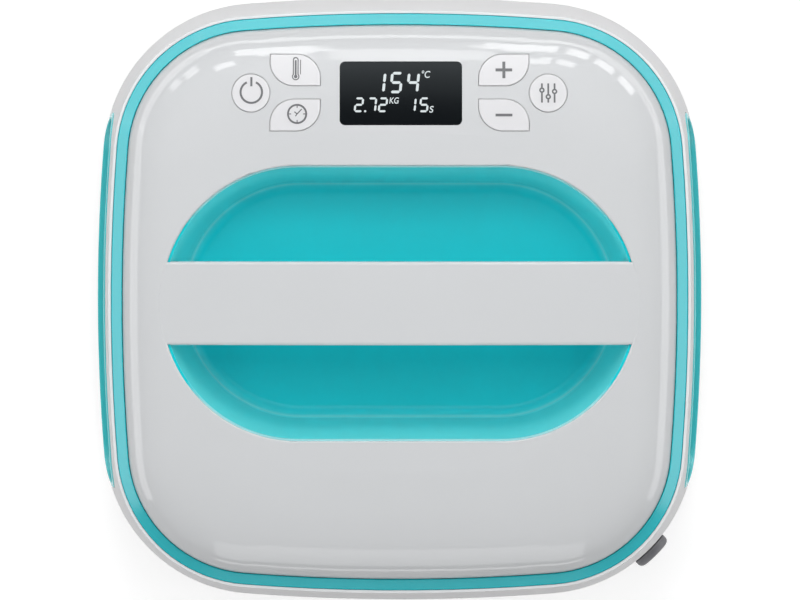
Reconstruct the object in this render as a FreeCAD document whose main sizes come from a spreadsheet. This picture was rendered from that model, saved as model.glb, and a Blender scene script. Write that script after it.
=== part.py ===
"""Portable heat press, 254 mm square plate.

Frame: millimetres, +Z up, +Y towards the rear (the display side), +X to the
right of a user who stands at the front.  The origin is the centre of the
heat plate's working face, on which the press rests.
"""

import FreeCAD, Part
import math
import os
import re

import Sketcher

V = FreeCAD.Vector

# Driving dimensions: name, millimetres (degrees for angles), what it is.
SIZES = (
    # outline shared by the plate, the housing, the trim and the top shell
    ("rim_half", 128.0, "half width of the top shell at its edge"),
    ("side_radius", 918.0, "radius of the shallow arc along each side"),
    ("corner_radius", 58.0, "radius of the rim's corner arc"),
    ("fit_gap", 0.3, "clearance between pieces that are fitted together"),
    ("slide_gap", 0.25, "clearance round a part that slides"),
    # heat plate and what is cast or screwed to it
    ("plate_half", 127.0, "half width of the heat plate"),
    ("plate_thickness", 12.0, "thickness of the heat plate"),
    ("plate_chamfer", 1.2, "bevel round the working face"),
    ("post_radius", 5.0, "radius of the plate's cast posts"),
    ("post_height", 6.0, "height of the posts above the plate"),
    ("post_reach", 8.0, "distance of the posts in from the plate's edge"),
    ("post_spread", 58.0, "offset of the posts along each side"),
    ("tube_radius", 4.0, "radius of the tubular heater"),
    ("tube_pitch", 36.0, "distance between the heater's straight runs"),
    ("tube_reach", 84.0, "half length of a straight run"),
    ("tube_sink", 3.0, "depth of the heater's groove in the plate"),
    ("terminal_length", 12.0, "length of the ceramic bush on each heater end"),
    ("pin_length", 7.0, "length of the spade pin on each heater end"),
    ("sensor_width", 13.0, "width of the temperature sensor block"),
    ("sensor_height", 4.5, "height of the temperature sensor block"),
    ("fuse_radius", 2.3, "radius of the thermal fuse"),
    ("fuse_length", 16.0, "length of the thermal fuse"),
    ("fuse_strap", 10.6, "length of the strap over the thermal fuse"),
    # insulation and frame
    ("frame_bottom", 4.0, "level of the base frame's lower edge"),
    ("frame_shelf", 3.0, "thickness of the base frame's shelf"),
    ("frame_opening", 106.0, "half width of the opening in the shelf"),
    ("frame_bevel", 1.2, "bevel round the base frame's lower edge"),
    ("frame_gap", 0.9, "gap between the plate and the base frame"),
    ("pad_half", 103.0, "half width of the insulation pad"),
    ("pad_thickness", 12.0, "thickness of the insulation pad"),
    ("shield_half", 109.0, "half width of the heat shield"),
    ("shield_sheet", 1.0, "sheet thickness of the heat shield"),
    ("load_cell_length", 36.0, "length of a load cell"),
    ("load_cell_width", 8.0, "width of a load cell"),
    ("load_cell_height", 7.0, "height of a load cell"),
    ("load_cell_reach", 13.8, "distance of the load cells in from the frame's corner"),
    ("load_cell_lift", 1.6, "height of the pads under and over a load cell"),
    # lower housing
    ("skirt_bottom", 7.0, "level of the housing's lower edge"),
    ("skirt_bottom_half", 140.6, "half width at the lower edge"),
    ("skirt_widest", 28.0, "level at which the housing is widest"),
    ("skirt_half", 143.1, "half width at the widest level"),
    ("skirt_top", 95.0, "level of the housing's upper edge"),
    ("skirt_top_half", 134.9, "half width at the upper edge"),
    ("skirt_bow", 1.4, "exponent of the housing's bowed side"),
    ("skirt_wall", 2.8, "wall of the housing"),
    ("ledge_level", 92.0, "level of the ledge that carries trim and shell"),
    ("ledge_thickness", 3.0, "thickness of the ledge"),
    ("ledge_opening", 11.7, "distance of the ledge's opening in from the shell's edge"),
    ("lip_thickness", 1.2, "thickness of the lip outside the trim"),
    ("boss_radius", 5.0, "radius of the housing's screw bosses"),
    ("side_boss_reach", 16.5, "distance of the side bosses in from the frame's edge"),
    ("side_boss_spread", 20.0, "offset of the side bosses along the side"),
    # trim ring
    ("trim_edge", 94.6, "level of the trim's outer edge"),
    ("trim_crest", 98.2, "level of the trim's inner edge"),
    ("trim_land", 0.4, "width of the flat along the trim's inner edge"),
    # top shell
    ("shell_wall", 2.6, "wall of the top shell"),
    ("shoulder_level", 98.6, "level where the shell's shoulder starts"),
    ("shoulder_rise", 19.5, "height of the elliptical shoulder"),
    ("shoulder_run", 50.0, "width of the elliptical shoulder"),
    ("shell_boss_radius", 3.6, "radius of the shell's screw bosses"),
    ("shell_boss_reach", 7.8, "distance of the shell bosses in from the shell's edge"),
    ("shell_boss_spread", 42.0, "offset of the shell bosses along each side"),
    # scoop under the handle
    ("scoop_radius", 63.2, "end radius of the opening round the handle"),
    ("opening_round", 0.8, "rounding of the shell's edge round the opening"),
    ("scoop_centre", 46.3, "distance of each end arc's centre from the middle"),
    ("scoop_step", 0.4, "step from the shell's opening to the scoop's wall"),
    ("scoop_draft", 6.7, "draft angle of the scoop's wall"),
    ("scoop_floor", 52.0, "level of the scoop's floor"),
    ("scoop_fillet", 6.0, "radius between the scoop's wall and floor"),
    ("scoop_wall", 2.4, "wall of the scoop"),
    ("scoop_flange", 8.5, "width of the scoop's flange"),
    ("scoop_flange_level", 104.5, "level of the flange's lower face"),
    ("scoop_flange_thickness", 2.5, "thickness of the flange"),
    ("scoop_boss_radius", 2.8, "radius of the bosses for the scoop's screws"),
    ("scoop_pilot_depth", 3.0, "depth of the pilot holes for the scoop's screws"),
    # handle
    ("handle_width", 38.4, "width of the handle"),
    ("handle_top", 119.6, "level of the handle's top at its middle"),
    ("handle_drop", 5.9, "fall of the handle's top towards its ends"),
    ("handle_cap_height", 13.0, "height of the handle's upper half"),
    ("handle_wall", 2.6, "wall of the handle's upper half"),
    ("handle_edge", 1.6, "radius of the handle's upper edges"),
    ("handle_grip_level", 95.0, "level of the handle's underside"),
    ("handle_grip_drop", 7.0, "fall of the underside towards its ends"),
    ("handle_grip_edge", 9.0, "radius of the handle's lower edges"),
    ("handle_strip", 24.0, "width of the shell's web inside the handle"),
    ("handle_screw_land", 4.5, "thickness of the underside above a screw's head"),
    ("handle_screw_inner", 32.0, "offset of the inner handle screws"),
    ("handle_screw_outer", 84.0, "offset of the outer handle screws"),
    # side grips
    ("grip_reach", 67.0, "distance of each grip end's centre from the middle"),
    ("grip_radius", 21.0, "end radius of a side grip"),
    ("grip_level", 61.0, "level of a side grip's middle"),
    ("grip_floor", 14.1, "depth of a side grip's floor inside the widest level"),
    ("grip_wall", 2.2, "wall of a side grip"),
    ("grip_flange", 5.0, "width of a side grip's flange"),
    ("grip_proud", 0.6, "height of a side grip's rim above the housing"),
    ("grip_rim_round", 0.5, "rounding of a side grip's rim"),
    # display
    ("display_middle", 96.3, "distance of the display's middle from the centre"),
    ("display_width", 55.8, "width of the display lens"),
    ("display_depth", 29.0, "depth of the display lens"),
    ("display_round", 2.3, "corner radius of the display lens"),
    ("display_skew", 0.6, "offset of the display to the right"),
    ("lens_thickness", 1.6, "thickness of the display lens"),
    ("lens_lip", 1.6, "width of the lens's flange under the shell"),
    ("lens_sink", 0.1, "depth of the lens's face below the shell"),
    # buttons
    ("button_radius", 8.7, "radius of the round buttons"),
    ("button_side", 68.1, "distance of the round buttons from the middle"),
    ("button_middle", 96.4, "distance of the round buttons from the centre"),
    ("leaf_width", 23.0, "width of a leaf-shaped button"),
    ("leaf_depth", 14.5, "depth of a leaf-shaped button"),
    ("leaf_round", 11.0, "radius of a leaf's two rounded corners"),
    ("leaf_side", 47.8, "distance of the leaf buttons from the middle"),
    ("leaf_rear", 107.0, "distance of the rear leaf buttons from the centre"),
    ("leaf_front", 86.3, "distance of the front leaf buttons from the centre"),
    ("button_proud", 0.4, "height of a button above the shell"),
    ("button_round", 0.5, "rounding of a button's upper edge"),
    ("button_lip", 1.1, "width of a button's flange"),
    ("button_lip_thickness", 1.2, "thickness of a button's flange"),
    ("button_travel", 0.5, "travel of a button"),
    ("stem_radius", 2.0, "radius of a button's stem"),
    ("stem_gap", 0.1, "gap between a pressed stem and its dome"),
    # electronics
    ("board_level", 99.0, "level of the display board's lower face"),
    ("board_thickness", 1.6, "thickness of the circuit boards"),
    ("board_width", 164.0, "width of the circuit boards"),
    ("board_front", 75.0, "distance of the boards' front edge from the centre"),
    ("board_rear", 114.5, "distance of the boards' rear edge from the centre"),
    ("board_hole_side", 77.0, "distance of the board screws from the middle"),
    ("board_hole_inset", 5.0, "distance of the board screws from the edges"),
    ("board_boss_radius", 3.0, "radius of the display board's bosses"),
    ("board_pilot_depth", 7.0, "depth of the pilot holes for the board screws"),
    ("spacer_length", 30.0, "length of the spacers between the boards"),
    ("spacer_radius", 2.6, "radius of the spacers"),
    ("keypad_sheet", 1.2, "thickness of the keypad"),
    ("keypad_width", 43.0, "width of each half of the keypad"),
    ("keypad_side", 51.5, "distance of the keypad's halves from the middle"),
    ("keypad_margin", 2.0, "distance of the keypad from the board's edges"),
    ("keypad_dome_height", 3.0, "height of the keypad's domes"),
    ("keypad_dome_radius", 4.2, "radius of the keypad's domes"),
    ("lcd_width", 50.0, "width of the display module"),
    ("lcd_depth", 25.0, "depth of the display module"),
    ("lcd_height", 8.6, "height of the display module"),
    ("lcd_frame_width", 2.0, "width of the frame round the display's glass"),
    ("lcd_recess", 0.6, "depth of the display's glass in its frame"),
    ("buzzer_radius", 4.2, "radius of the buzzer"),
    ("buzzer_height", 5.0, "height of the buzzer"),
    ("relay_width", 19.0, "width of the relay"),
    ("relay_depth", 15.5, "depth of the relay"),
    ("relay_height", 15.0, "height of the relay"),
    ("relay_side", 18.0, "distance of the relay from the middle"),
    ("core_width", 28.0, "width of the transformer's core"),
    ("core_depth", 22.0, "depth of the transformer's core"),
    ("core_height", 20.0, "height of the transformer's core"),
    ("core_limb", 5.0, "width of the core's outer limbs"),
    ("core_yoke", 3.0, "height of the core's yokes"),
    ("core_side", 20.0, "distance of the transformer from the middle"),
    ("coil_radius", 11.5, "radius of the transformer's coil"),
    ("coil_gap", 0.5, "gap between the coil and the core's limbs"),
    ("can_radius", 5.0, "radius of a capacitor"),
    ("can_height", 18.0, "height of a capacitor"),
    ("can_side", 45.0, "distance of the nearer capacitor from the middle"),
    ("can_pitch", 12.0, "distance between the capacitors"),
    ("sink_width", 26.0, "width of the heat sink"),
    ("sink_depth", 24.0, "depth of the heat sink"),
    ("sink_height", 22.0, "height of the heat sink"),
    ("sink_foot", 3.0, "thickness of the heat sink's foot"),
    ("sink_fin", 1.6, "thickness of the heat sink's fins"),
    ("sink_side", 32.0, "distance of the heat sink's near edge from the middle"),
    ("terminal_width", 10.0, "width of the terminal block"),
    ("terminal_pitch", 8.0, "distance between the terminals"),
    ("terminal_height", 12.0, "height of the terminal block"),
    ("terminal_well", 2.2, "radius of the wells over the terminal screws"),
    ("terminal_inset", 12.0, "distance of the terminals from the board's end"),
    # cord gland and rear bumper
    ("gland_level", 31.0, "level of the cord gland's axis"),
    ("gland_radius", 9.2, "radius of the gland's collar"),
    ("gland_reach", 0.16, "depth of the collar's seat inside the housing's corner"),
    ("gland_neck_length", 12.0, "length of the gland's neck"),
    ("gland_collar", 4.0, "length of the gland's collar"),
    ("gland_neck", 6.6, "radius of the gland's neck"),
    ("gland_bore", 3.7, "radius of the gland's bore"),
    ("gland_nut", 8.6, "radius of the gland's nut"),
    ("gland_nut_length", 5.0, "length of the gland's nut"),
    ("bumper_width", 51.0, "width of the rear bumper"),
    ("bumper_height", 13.0, "height of the rear bumper"),
    ("bumper_proud", 1.1, "height of the bumper above the housing"),
    ("bumper_depth", 1.3, "depth of the bumper's recess"),
    # screws
    ("screw_radius", 1.5, "radius of the screws' shanks"),
    ("screw_head", 2.9, "radius of the screws' heads"),
    ("screw_head_height", 2.0, "height of the screws' heads"),
    ("screw_length", 8.0, "length of the screws' shanks"),
    ("pilot_depth", 9.0, "depth of a screw's pilot hole"),
    ("screw_play", 1.0, "room left at the end of a pilot hole"),
)

DOME_STEPS = 5
SKIRT_FRACTIONS = (0.0, 0.35, 0.7, 1.0)
CORNERS = (0, 1, 2, 3)
RIGHT_ANGLE = 90
HALF_TURN = 180
FULL_TURN = 360
# A cutting tool runs past the surfaces that it opens by this much.
OVERRUN = 1.0
# Points nearer than this to a surface lie on it.
TOUCH = 0.005
# Blanks that are trimmed to a curved surface reach this level.
BLANK_TOP = "(handle_top + handle_cap_height)"

doc = FreeCAD.newDocument("HeatPress")
sheet = doc.addObject("Spreadsheet::Sheet", "Sizes")
for row, (alias, value, note) in enumerate(SIZES, start=1):
    sheet.set(f"A{row}", alias)
    sheet.set(f"B{row}", str(value))
    sheet.set(f"C{row}", note)
    sheet.setAlias(f"B{row}", alias)
doc.recompute()

ALIASES = {alias for alias, value, note in SIZES}
NODES = []


def formula(text):
    """Write a size formula with the sheet's name before each alias."""
    return re.sub(r"[a-z]\w*", lambda m: f"Sizes.{m[0]}" if m[0] in ALIASES else m[0], str(text))


def size(text):
    """Work out a size formula as a number."""
    return float(sheet.evalExpression(formula(text)))


def bind(thing, **formulas):
    """Bind properties to formulas; a double underscore stands for a dot."""
    for prop, text in formulas.items():
        thing.setExpression(prop.replace("__", "."), formula(text))
    return thing


def place(thing, x=0, y=0, z=0):
    """Bind the position of an object."""
    return bind(thing, Placement__Base__x=x, Placement__Base__y=y, Placement__Base__z=z)


def piece(thing, label):
    """Register an object as a separate piece of the product."""
    thing.Label = label
    NODES.append(thing)
    return thing


# --- values that follow from the sizes -------------------------------------

# Centre of the corner arcs of every outline, and the rim's reach along a diagonal.
CORNER_CENTRE = ("((rim_half - side_radius + sqrt(2 * (side_radius - corner_radius)^2"
                 " - (rim_half - side_radius)^2)) / 2)")
RIM_CORNER = f"(sqrt(2) * {CORNER_CENTRE} + corner_radius)"
FRAME_HALF = "(skirt_bottom_half - skirt_wall - fit_gap)"
POST_REACH = "(plate_half - post_reach)"
SIDE_BOSS_REACH = f"({FRAME_HALF} - side_boss_reach)"
SHELL_BOSS_REACH = "(rim_half - shell_boss_reach)"
LEDGE_WINDOW = "(rim_half - ledge_opening)"
LEDGE_LOW = "(ledge_level - ledge_thickness)"
LOAD_CELL_REACH = f"({RIM_CORNER} + {FRAME_HALF} - rim_half - load_cell_reach)"
GLAND_SEAT = f"({RIM_CORNER} + skirt_half - rim_half - gland_reach)"
GRIP_FLOOR = "(skirt_half - grip_floor)"
GRIP_BACK = f"({GRIP_FLOOR} - grip_wall)"
WALL_PAST = "1.1 * skirt_half"
SHELF_LOW = "(plate_thickness + post_height)"
SHELF_TOP = f"({SHELF_LOW} + frame_shelf)"
PAD_LOW = "(plate_thickness - tube_sink + 2 * tube_radius)"
PAD_TOP = f"({PAD_LOW} + pad_thickness)"
TUBE_LEVEL = "(plate_thickness - tube_sink + tube_radius)"
FLANGE_TOP = "(scoop_flange_level + scoop_flange_thickness)"
ARCH_REACH = "(scoop_centre + scoop_radius)"
ARCH_RADIUS = f"(({ARCH_REACH}^2 + handle_drop^2) / (2 * handle_drop))"
GRIP_ARCH_RADIUS = f"(({ARCH_REACH}^2 + handle_grip_drop^2) / (2 * handle_grip_drop))"
SPLIT_LEVEL = "(handle_top - handle_cap_height)"
SPLIT_RADIUS = f"({ARCH_RADIUS} - handle_cap_height)"
HANDLE_END = f"({ARCH_REACH} + handle_wall)"
HANDLE_SEAT = f"({SPLIT_LEVEL} - handle_screw_land)"
BOARD_TOP = "(board_level + board_thickness)"
BOARD_MIDDLE = "((board_front + board_rear) / 2)"
POWER_BOARD_TOP = "(board_level - spacer_length)"
KEYPAD_TOP = f"({BOARD_TOP} + keypad_sheet)"
STEM_LOW = f"({KEYPAD_TOP} + keypad_dome_height + button_travel + stem_gap)"


# --- sketches ------------------------------------------------------------


def origin_plane(body, role):
    """The body's own origin plane with this role."""
    return next(f for f in body.Origin.OriginFeatures if f.Role == role)


def start_sketch(name, body=None, plane="XY_Plane", level=0):
    """A sketch on a body's origin plane, or free and level, raised along the normal."""
    if body is None:
        sketch = doc.addObject("Sketcher::SketchObject", name)
        return place(sketch, z=level)
    sketch = body.newObject("Sketcher::SketchObject", name)
    sketch.AttachmentSupport = [(origin_plane(body, plane), "")]
    sketch.MapMode = "FlatFace"
    return bind(sketch, AttachmentOffset__Base__z=level)


def tie(sketch, kind, *where, to):
    """Add one constraint whose value is bound to a formula."""
    index = sketch.addConstraint(Sketcher.Constraint(kind, *where, size(to)))
    sketch.setExpression(f"Constraints[{index}]", formula(to))


def outline(sketch, half, side, corner):
    """A rounded square: four shallow side arcs joined by tangent corner arcs."""
    a, big, small = size(half), size(side), size(corner)
    reach = ((a - big) + math.sqrt(2 * (big - small) ** 2 - (a - big) ** 2)) / 2
    turn = math.atan2(reach, reach - (a - big))
    arcs = []
    for quarter in CORNERS:
        spin = quarter * math.pi / 2
        middle = FreeCAD.Rotation(V(0, 0, 1), quarter * RIGHT_ANGLE)
        side_circle = Part.Circle(middle.multVec(V(a - big, 0, 0)), V(0, 0, 1), big)
        corner_circle = Part.Circle(middle.multVec(V(reach, reach, 0)), V(0, 0, 1), small)
        arcs.append(Part.ArcOfCircle(side_circle, spin - turn, spin + turn))
        arcs.append(Part.ArcOfCircle(corner_circle, spin + turn, spin + math.pi / 2 - turn))
    sketch.addGeometry(arcs, False)
    count = len(arcs)
    for index in range(count):
        sketch.addConstraint(Sketcher.Constraint("Tangent", index, 2, (index + 1) % count, 1))
    for index in range(2, count):
        sketch.addConstraint(Sketcher.Constraint("Equal", index - 2, index))
    for index, axis in ((0, -1), (2, -2), (4, -1), (6, -2)):
        sketch.addConstraint(Sketcher.Constraint("PointOnObject", index, 3, axis))
    tie(sketch, "Radius", 0, to=side)
    tie(sketch, "Radius", 1, to=corner)
    depth = f"({side}) - ({half})"
    tie(sketch, "DistanceX", 0, 3, -1, 1, to=depth)
    tie(sketch, "DistanceY", 2, 3, -1, 1, to=depth)
    tie(sketch, "DistanceX", -1, 1, 4, 3, to=depth)
    tie(sketch, "DistanceY", -1, 1, 6, 3, to=depth)
    return sketch


def offset_outline(sketch, half):
    """The rim's outline moved in or out by a constant distance."""
    grow = f"(({half}) - rim_half)"
    return outline(sketch, half, f"side_radius + {grow}", f"corner_radius + {grow}")


def scaled_outline(sketch, half):
    """The rim's outline scaled to another half width."""
    scale = f"(({half}) / rim_half)"
    return outline(sketch, half, f"side_radius * {scale}", f"corner_radius * {scale}")


def polygon(sketch, corners):
    """A closed outline of straight lines through corners given as formulas."""
    spots = [V(size(x), size(y), 0) for x, y in corners]
    count = len(spots)
    lines = [Part.LineSegment(spots[i], spots[(i + 1) % count]) for i in range(count)]
    sketch.addGeometry(lines, False)
    for index, (x, y) in enumerate(corners):
        before = (index - 1) % count
        sketch.addConstraint(Sketcher.Constraint("Coincident", before, 2, index, 1))
        tie(sketch, "DistanceX", -1, 1, index, 1, to=x)
        tie(sketch, "DistanceY", -1, 1, index, 1, to=y)
    return sketch


def slot(sketch, reach, radius, level=0):
    """A slot along the sketch's x axis: two end arcs joined by tangent lines."""
    c, r, y = size(reach), size(radius), size(level)
    sketch.addGeometry([
        Part.ArcOfCircle(Part.Circle(V(c, y, 0), V(0, 0, 1), r), -math.pi / 2, math.pi / 2),
        Part.LineSegment(V(c, y + r, 0), V(-c, y + r, 0)),
        Part.ArcOfCircle(Part.Circle(V(-c, y, 0), V(0, 0, 1), r), math.pi / 2, 1.5 * math.pi),
        Part.LineSegment(V(-c, y - r, 0), V(c, y - r, 0)),
    ], False)
    for index in CORNERS:
        sketch.addConstraint(Sketcher.Constraint("Tangent", index, 2, (index + 1) % 4, 1))
    sketch.addConstraint(Sketcher.Constraint("Horizontal", 1))
    tie(sketch, "Radius", 0, to=radius)
    tie(sketch, "DistanceX", -1, 1, 0, 3, to=reach)
    tie(sketch, "DistanceX", 2, 3, -1, 1, to=reach)
    tie(sketch, "DistanceY", -1, 1, 0, 3, to=level)
    return sketch


def circles(sketch, spots, radius):
    """Equal circles at spots given as formulas."""
    for index, (x, y) in enumerate(spots):
        sketch.addGeometry(Part.Circle(V(size(x), size(y), 0), V(0, 0, 1), size(radius)), False)
        tie(sketch, "Radius", index, to=radius)
        tie(sketch, "DistanceX", -1, 1, index, 3, to=x)
        tie(sketch, "DistanceY", -1, 1, index, 3, to=y)
    return sketch


def arched_band(sketch, reach, upper_level, upper_radius, lower_level, lower_radius):
    """A band between two arcs centred below the middle, closed by upright ends."""
    x = size(reach)
    spans = []
    for level, radius in ((upper_level, upper_radius), (lower_level, lower_radius)):
        r, top = size(radius), size(level)
        half_angle = math.asin(x / r)
        circle = Part.Circle(V(0, top - r, 0), V(0, 0, 1), r)
        spans.append(Part.ArcOfCircle(circle, math.pi / 2 - half_angle, math.pi / 2 + half_angle))
    upper, lower = spans
    sketch.addGeometry([
        upper,
        Part.LineSegment(upper.EndPoint, lower.EndPoint),
        lower,
        Part.LineSegment(lower.StartPoint, upper.StartPoint),
    ], False)
    for first, first_end, second, second_end in ((0, 2, 1, 1), (1, 2, 2, 2), (2, 1, 3, 1), (3, 2, 0, 1)):
        sketch.addConstraint(Sketcher.Constraint("Coincident", first, first_end, second, second_end))
    for index, level, radius in ((0, upper_level, upper_radius), (2, lower_level, lower_radius)):
        sketch.addConstraint(Sketcher.Constraint("PointOnObject", index, 3, -2))
        tie(sketch, "Radius", index, to=radius)
        tie(sketch, "DistanceY", index, 3, -1, 1, to=f"({radius}) - ({level})")
    for index, end, sign in ((0, 1, ""), (0, 2, "-"), (2, 1, ""), (2, 2, "-")):
        tie(sketch, "DistanceX", -1, 1, index, end, to=f"{sign}({reach})")
    return sketch


# --- features ------------------------------------------------------------


def new_body(name):
    return doc.addObject("PartDesign::Body", name)


def pad(body, sketch, length, **settings):
    """A pad of a sketch, up to a length given as a formula."""
    feature = body.newObject("PartDesign::Pad", f"{sketch.Name}_pad")
    feature.Profile = sketch
    return finish(feature, length, settings)


def pocket(body, sketch, depth, **settings):
    """A pocket that must remove material."""
    before = body.Shape.Volume
    feature = body.newObject("PartDesign::Pocket", f"{sketch.Name}_pocket")
    feature.Profile = sketch
    finish(feature, depth, settings)
    if not feature.Shape.Volume < before:
        raise ValueError(f"{feature.Name} cuts nothing")
    return feature


def finish(feature, length, settings):
    bind(feature, Length=length)
    for prop, value in settings.items():
        setattr(feature, prop, value)
    doc.recompute()
    return feature


def edges_where(shape, test):
    """Names of the edges whose middle point and edge pass a test."""
    names = []
    for index, edge in enumerate(shape.Edges, start=1):
        middle = edge.valueAt((edge.FirstParameter + edge.LastParameter) / 2)
        if test(middle, edge):
            names.append(f"Edge{index}")
    return names


def round_edges(body, base, radius, test, kind="Fillet"):
    """Fillet or chamfer the edges of a body's feature that pass a test."""
    feature = body.newObject(f"PartDesign::{kind}", f"{base.Name}_{kind.lower()}")
    feature.Base = (base, edges_where(base.Shape, test))
    if kind == "Fillet":
        bind(feature, Radius=radius)
    else:
        bind(feature, Size=radius)
    doc.recompute()
    return feature


def boolean(kind, name, *shapes):
    """Part boolean: Cut takes two shapes, MultiFuse and MultiCommon any number."""
    result = doc.addObject(f"Part::{kind}", name)
    if kind == "Cut":
        result.Base, result.Tool = shapes
    else:
        result.Shapes = list(shapes)
        result.Refine = True
    doc.recompute()
    return result


def cut(name, base, *tools):
    """Cut one or several tools out of a base."""
    tool = tools[0] if len(tools) == 1 else boolean("MultiFuse", f"{name}_tools", *tools)
    return boolean("Cut", name, base, tool)


def fuse(name, *shapes):
    return boolean("MultiFuse", name, *shapes)


def common(name, *shapes):
    return boolean("MultiCommon", name, *shapes)


def stack(name, rows, straight=True, draw=offset_outline):
    """A solid lofted through outlines, each row giving a half width and a level."""
    loft = doc.addObject("Part::Loft", name)
    loft.Sections = [
        draw(start_sketch(f"{name}_row{index}", level=level), half)
        for index, (half, level) in enumerate(rows)
    ]
    loft.Solid = True
    loft.Ruled = straight
    doc.recompute()
    return loft


def cylinder(name, radius, height, x=0, y=0, z=0, axis=None, angle=RIGHT_ANGLE):
    """A cylinder that stands on its base point, turned about an axis if one is given."""
    solid = doc.addObject("Part::Cylinder", name)
    if axis is not None:
        solid.Placement = FreeCAD.Placement(V(), FreeCAD.Rotation(axis, angle))
    bind(solid, Radius=radius, Height=height)
    return place(solid, x, y, z)


def block(name, width, depth, height, x=0, y=0, z=0):
    """A box centred on x and y that stands on z."""
    solid = doc.addObject("Part::Box", name)
    bind(solid, Length=width, Width=depth, Height=height)
    return place(solid, f"({x}) - ({width}) / 2", f"({y}) - ({depth}) / 2", z)


def group(name, original, spots, angles=None):
    """A set of equal solids: the original linked to each spot."""
    links = []
    for index, (x, y, z) in enumerate(spots):
        link = doc.addObject("App::Link", f"{name}_{index + 1}")
        link.LinkedObject = original
        if angles is not None:
            link.Placement = FreeCAD.Placement(V(), FreeCAD.Rotation(V(0, 0, 1), angles[index]))
        links.append(place(link, x, y, z))
    compound = doc.addObject("Part::Compound", f"{name}_set")
    compound.Links = links
    doc.recompute()
    return compound


def all_round(reach, spread):
    """Eight spots, two along each of the four sides."""
    spots = []
    for sign in ("", "-"):
        for shift in ("", "-"):
            spots.append((f"{sign}{reach}", f"{shift}{spread}"))
            spots.append((f"{shift}{spread}", f"{sign}{reach}"))
    return spots


def pins(name, spots, radius, height, level):
    """Equal cylinders at spots, as a list of tools."""
    return [
        cylinder(f"{name}_{index}", radius, height, x, y, level)
        for index, (x, y) in enumerate(spots, start=1)
    ]


def drills(name, spots, radius, thickness, level):
    """Tools that drill right through a wall whose lower face is at a level."""
    return pins(name, spots, radius, f"{thickness} + {2 * OVERRUN}", f"{level} - {OVERRUN}")


def pilots(name, spots, depth, level):
    """Tools for blind screw holes that open downwards at a level."""
    return pins(name, spots, "screw_radius", f"{depth} + {OVERRUN}", f"{level} - {OVERRUN}")


def round_rim(name, base, skin, radius, wanted=None):
    """Fillet the edges where a piece's outer skin meets its walls, or the wanted ones."""
    surface = skin.Shape.Shells[0]

    def on_skin(point):
        return Part.Vertex(point).distToShape(surface)[0] < TOUCH

    def face_on_skin(face):
        first_u, last_u, first_v, last_v = face.ParameterRange
        return on_skin(face.valueAt((first_u + last_u) / 2, (first_v + last_v) / 2))

    rims = []
    for index, edge in enumerate(base.Shape.Edges, start=1):
        middle = edge.valueAt((edge.FirstParameter + edge.LastParameter) / 2)
        if not on_skin(middle) or wanted is not None and not wanted(middle):
            continue
        sides = base.Shape.ancestorsOfType(edge, Part.Face)
        if len({face_on_skin(face) for face in sides}) == 2:
            rims.append((index, size(radius), size(radius)))
    fillet = doc.addObject("Part::Fillet", name)
    fillet.Base = base
    fillet.Edges = rims
    doc.recompute()
    return fillet


# --- screws --------------------------------------------------------------


def make_screw(name, length):
    """A pan-head screw that points up, with its head's seat at the origin."""
    body = new_body(name)
    profile = polygon(start_sketch(f"{name}_profile", body, "XZ_Plane"), (
        ("0", "-screw_head_height"),
        ("screw_head * 0.8", "-screw_head_height"),
        ("screw_head", "-screw_head_height * 0.6"),
        ("screw_head", "0"),
        ("screw_radius", "0"),
        ("screw_radius", f"{length} - screw_radius"),
        ("screw_radius * 0.5", length),
        ("0", length),
    ))
    turn = body.newObject("PartDesign::Revolution", f"{name}_turn")
    turn.Profile = profile
    turn.ReferenceAxis = (profile, ["V_Axis"])
    turn.Angle = FULL_TURN
    doc.recompute()
    return body


LONG_SCREW = make_screw("long_screw", "screw_length + ledge_thickness")


# --- forms that several pieces are trimmed to -----------------------------


def dome(name, inset, foot_level="ledge_level"):
    """The top shell's outer form, moved inwards: upright rim, elliptical shoulder, flat top."""
    rows = []
    for step in range(DOME_STEPS + 1):
        angle = step * RIGHT_ANGLE / DOME_STEPS
        half = f"rim_half - ({inset}) - (shoulder_run - ({inset})) * (1 - cos({angle}))"
        rows.append((half, f"shoulder_level + (shoulder_rise - ({inset})) * sin({angle})"))
    shoulder = stack(f"{name}_shoulder", rows, straight=False, draw=scaled_outline)
    foot = f"rim_half - ({inset})"
    rim = stack(f"{name}_rim", ((foot, foot_level), (foot, "shoulder_level")), draw=scaled_outline)
    return fuse(name, rim, shoulder)


def skirt(name, inset):
    """The housing's outer form, moved inwards: widest low down, bowed in towards the top."""
    rows = [(f"skirt_bottom_half - ({inset})", "skirt_bottom")]
    for fraction in SKIRT_FRACTIONS:
        half = f"skirt_half - (skirt_half - skirt_top_half) * {fraction}^skirt_bow - ({inset})"
        rows.append((half, f"skirt_widest + (skirt_top - skirt_widest) * {fraction}"))
    return stack(name, rows, straight=False)


def scoop_form(name, inset):
    """The scoop's hollow, moved inwards: a tapered slot with a rounded floor."""
    body = new_body(name)
    top = "shoulder_level + shoulder_rise"
    sketch = slot(start_sketch(f"{name}_slot", body, level=top), "scoop_centre",
                  f"scoop_radius - scoop_step - ({inset})")
    depth = f"{top} - scoop_floor - ({inset})"
    hollow = pad(body, sketch, depth, Reversed=True)
    bind(hollow, TaperAngle="-scoop_draft")
    doc.recompute()
    floor = size(f"scoop_floor + ({inset})")
    round_edges(body, hollow, f"scoop_fillet - ({inset})",
                lambda middle, edge: abs(middle.z - floor) < 0.01)
    return body


def slot_prism(name, radius, low, high):
    """An upright slot-shaped prism round the handle's opening."""
    body = new_body(name)
    sketch = slot(start_sketch(f"{name}_slot", body, level=low), "scoop_centre", radius)
    pad(body, sketch, f"({high}) - ({low})")
    return body


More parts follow.
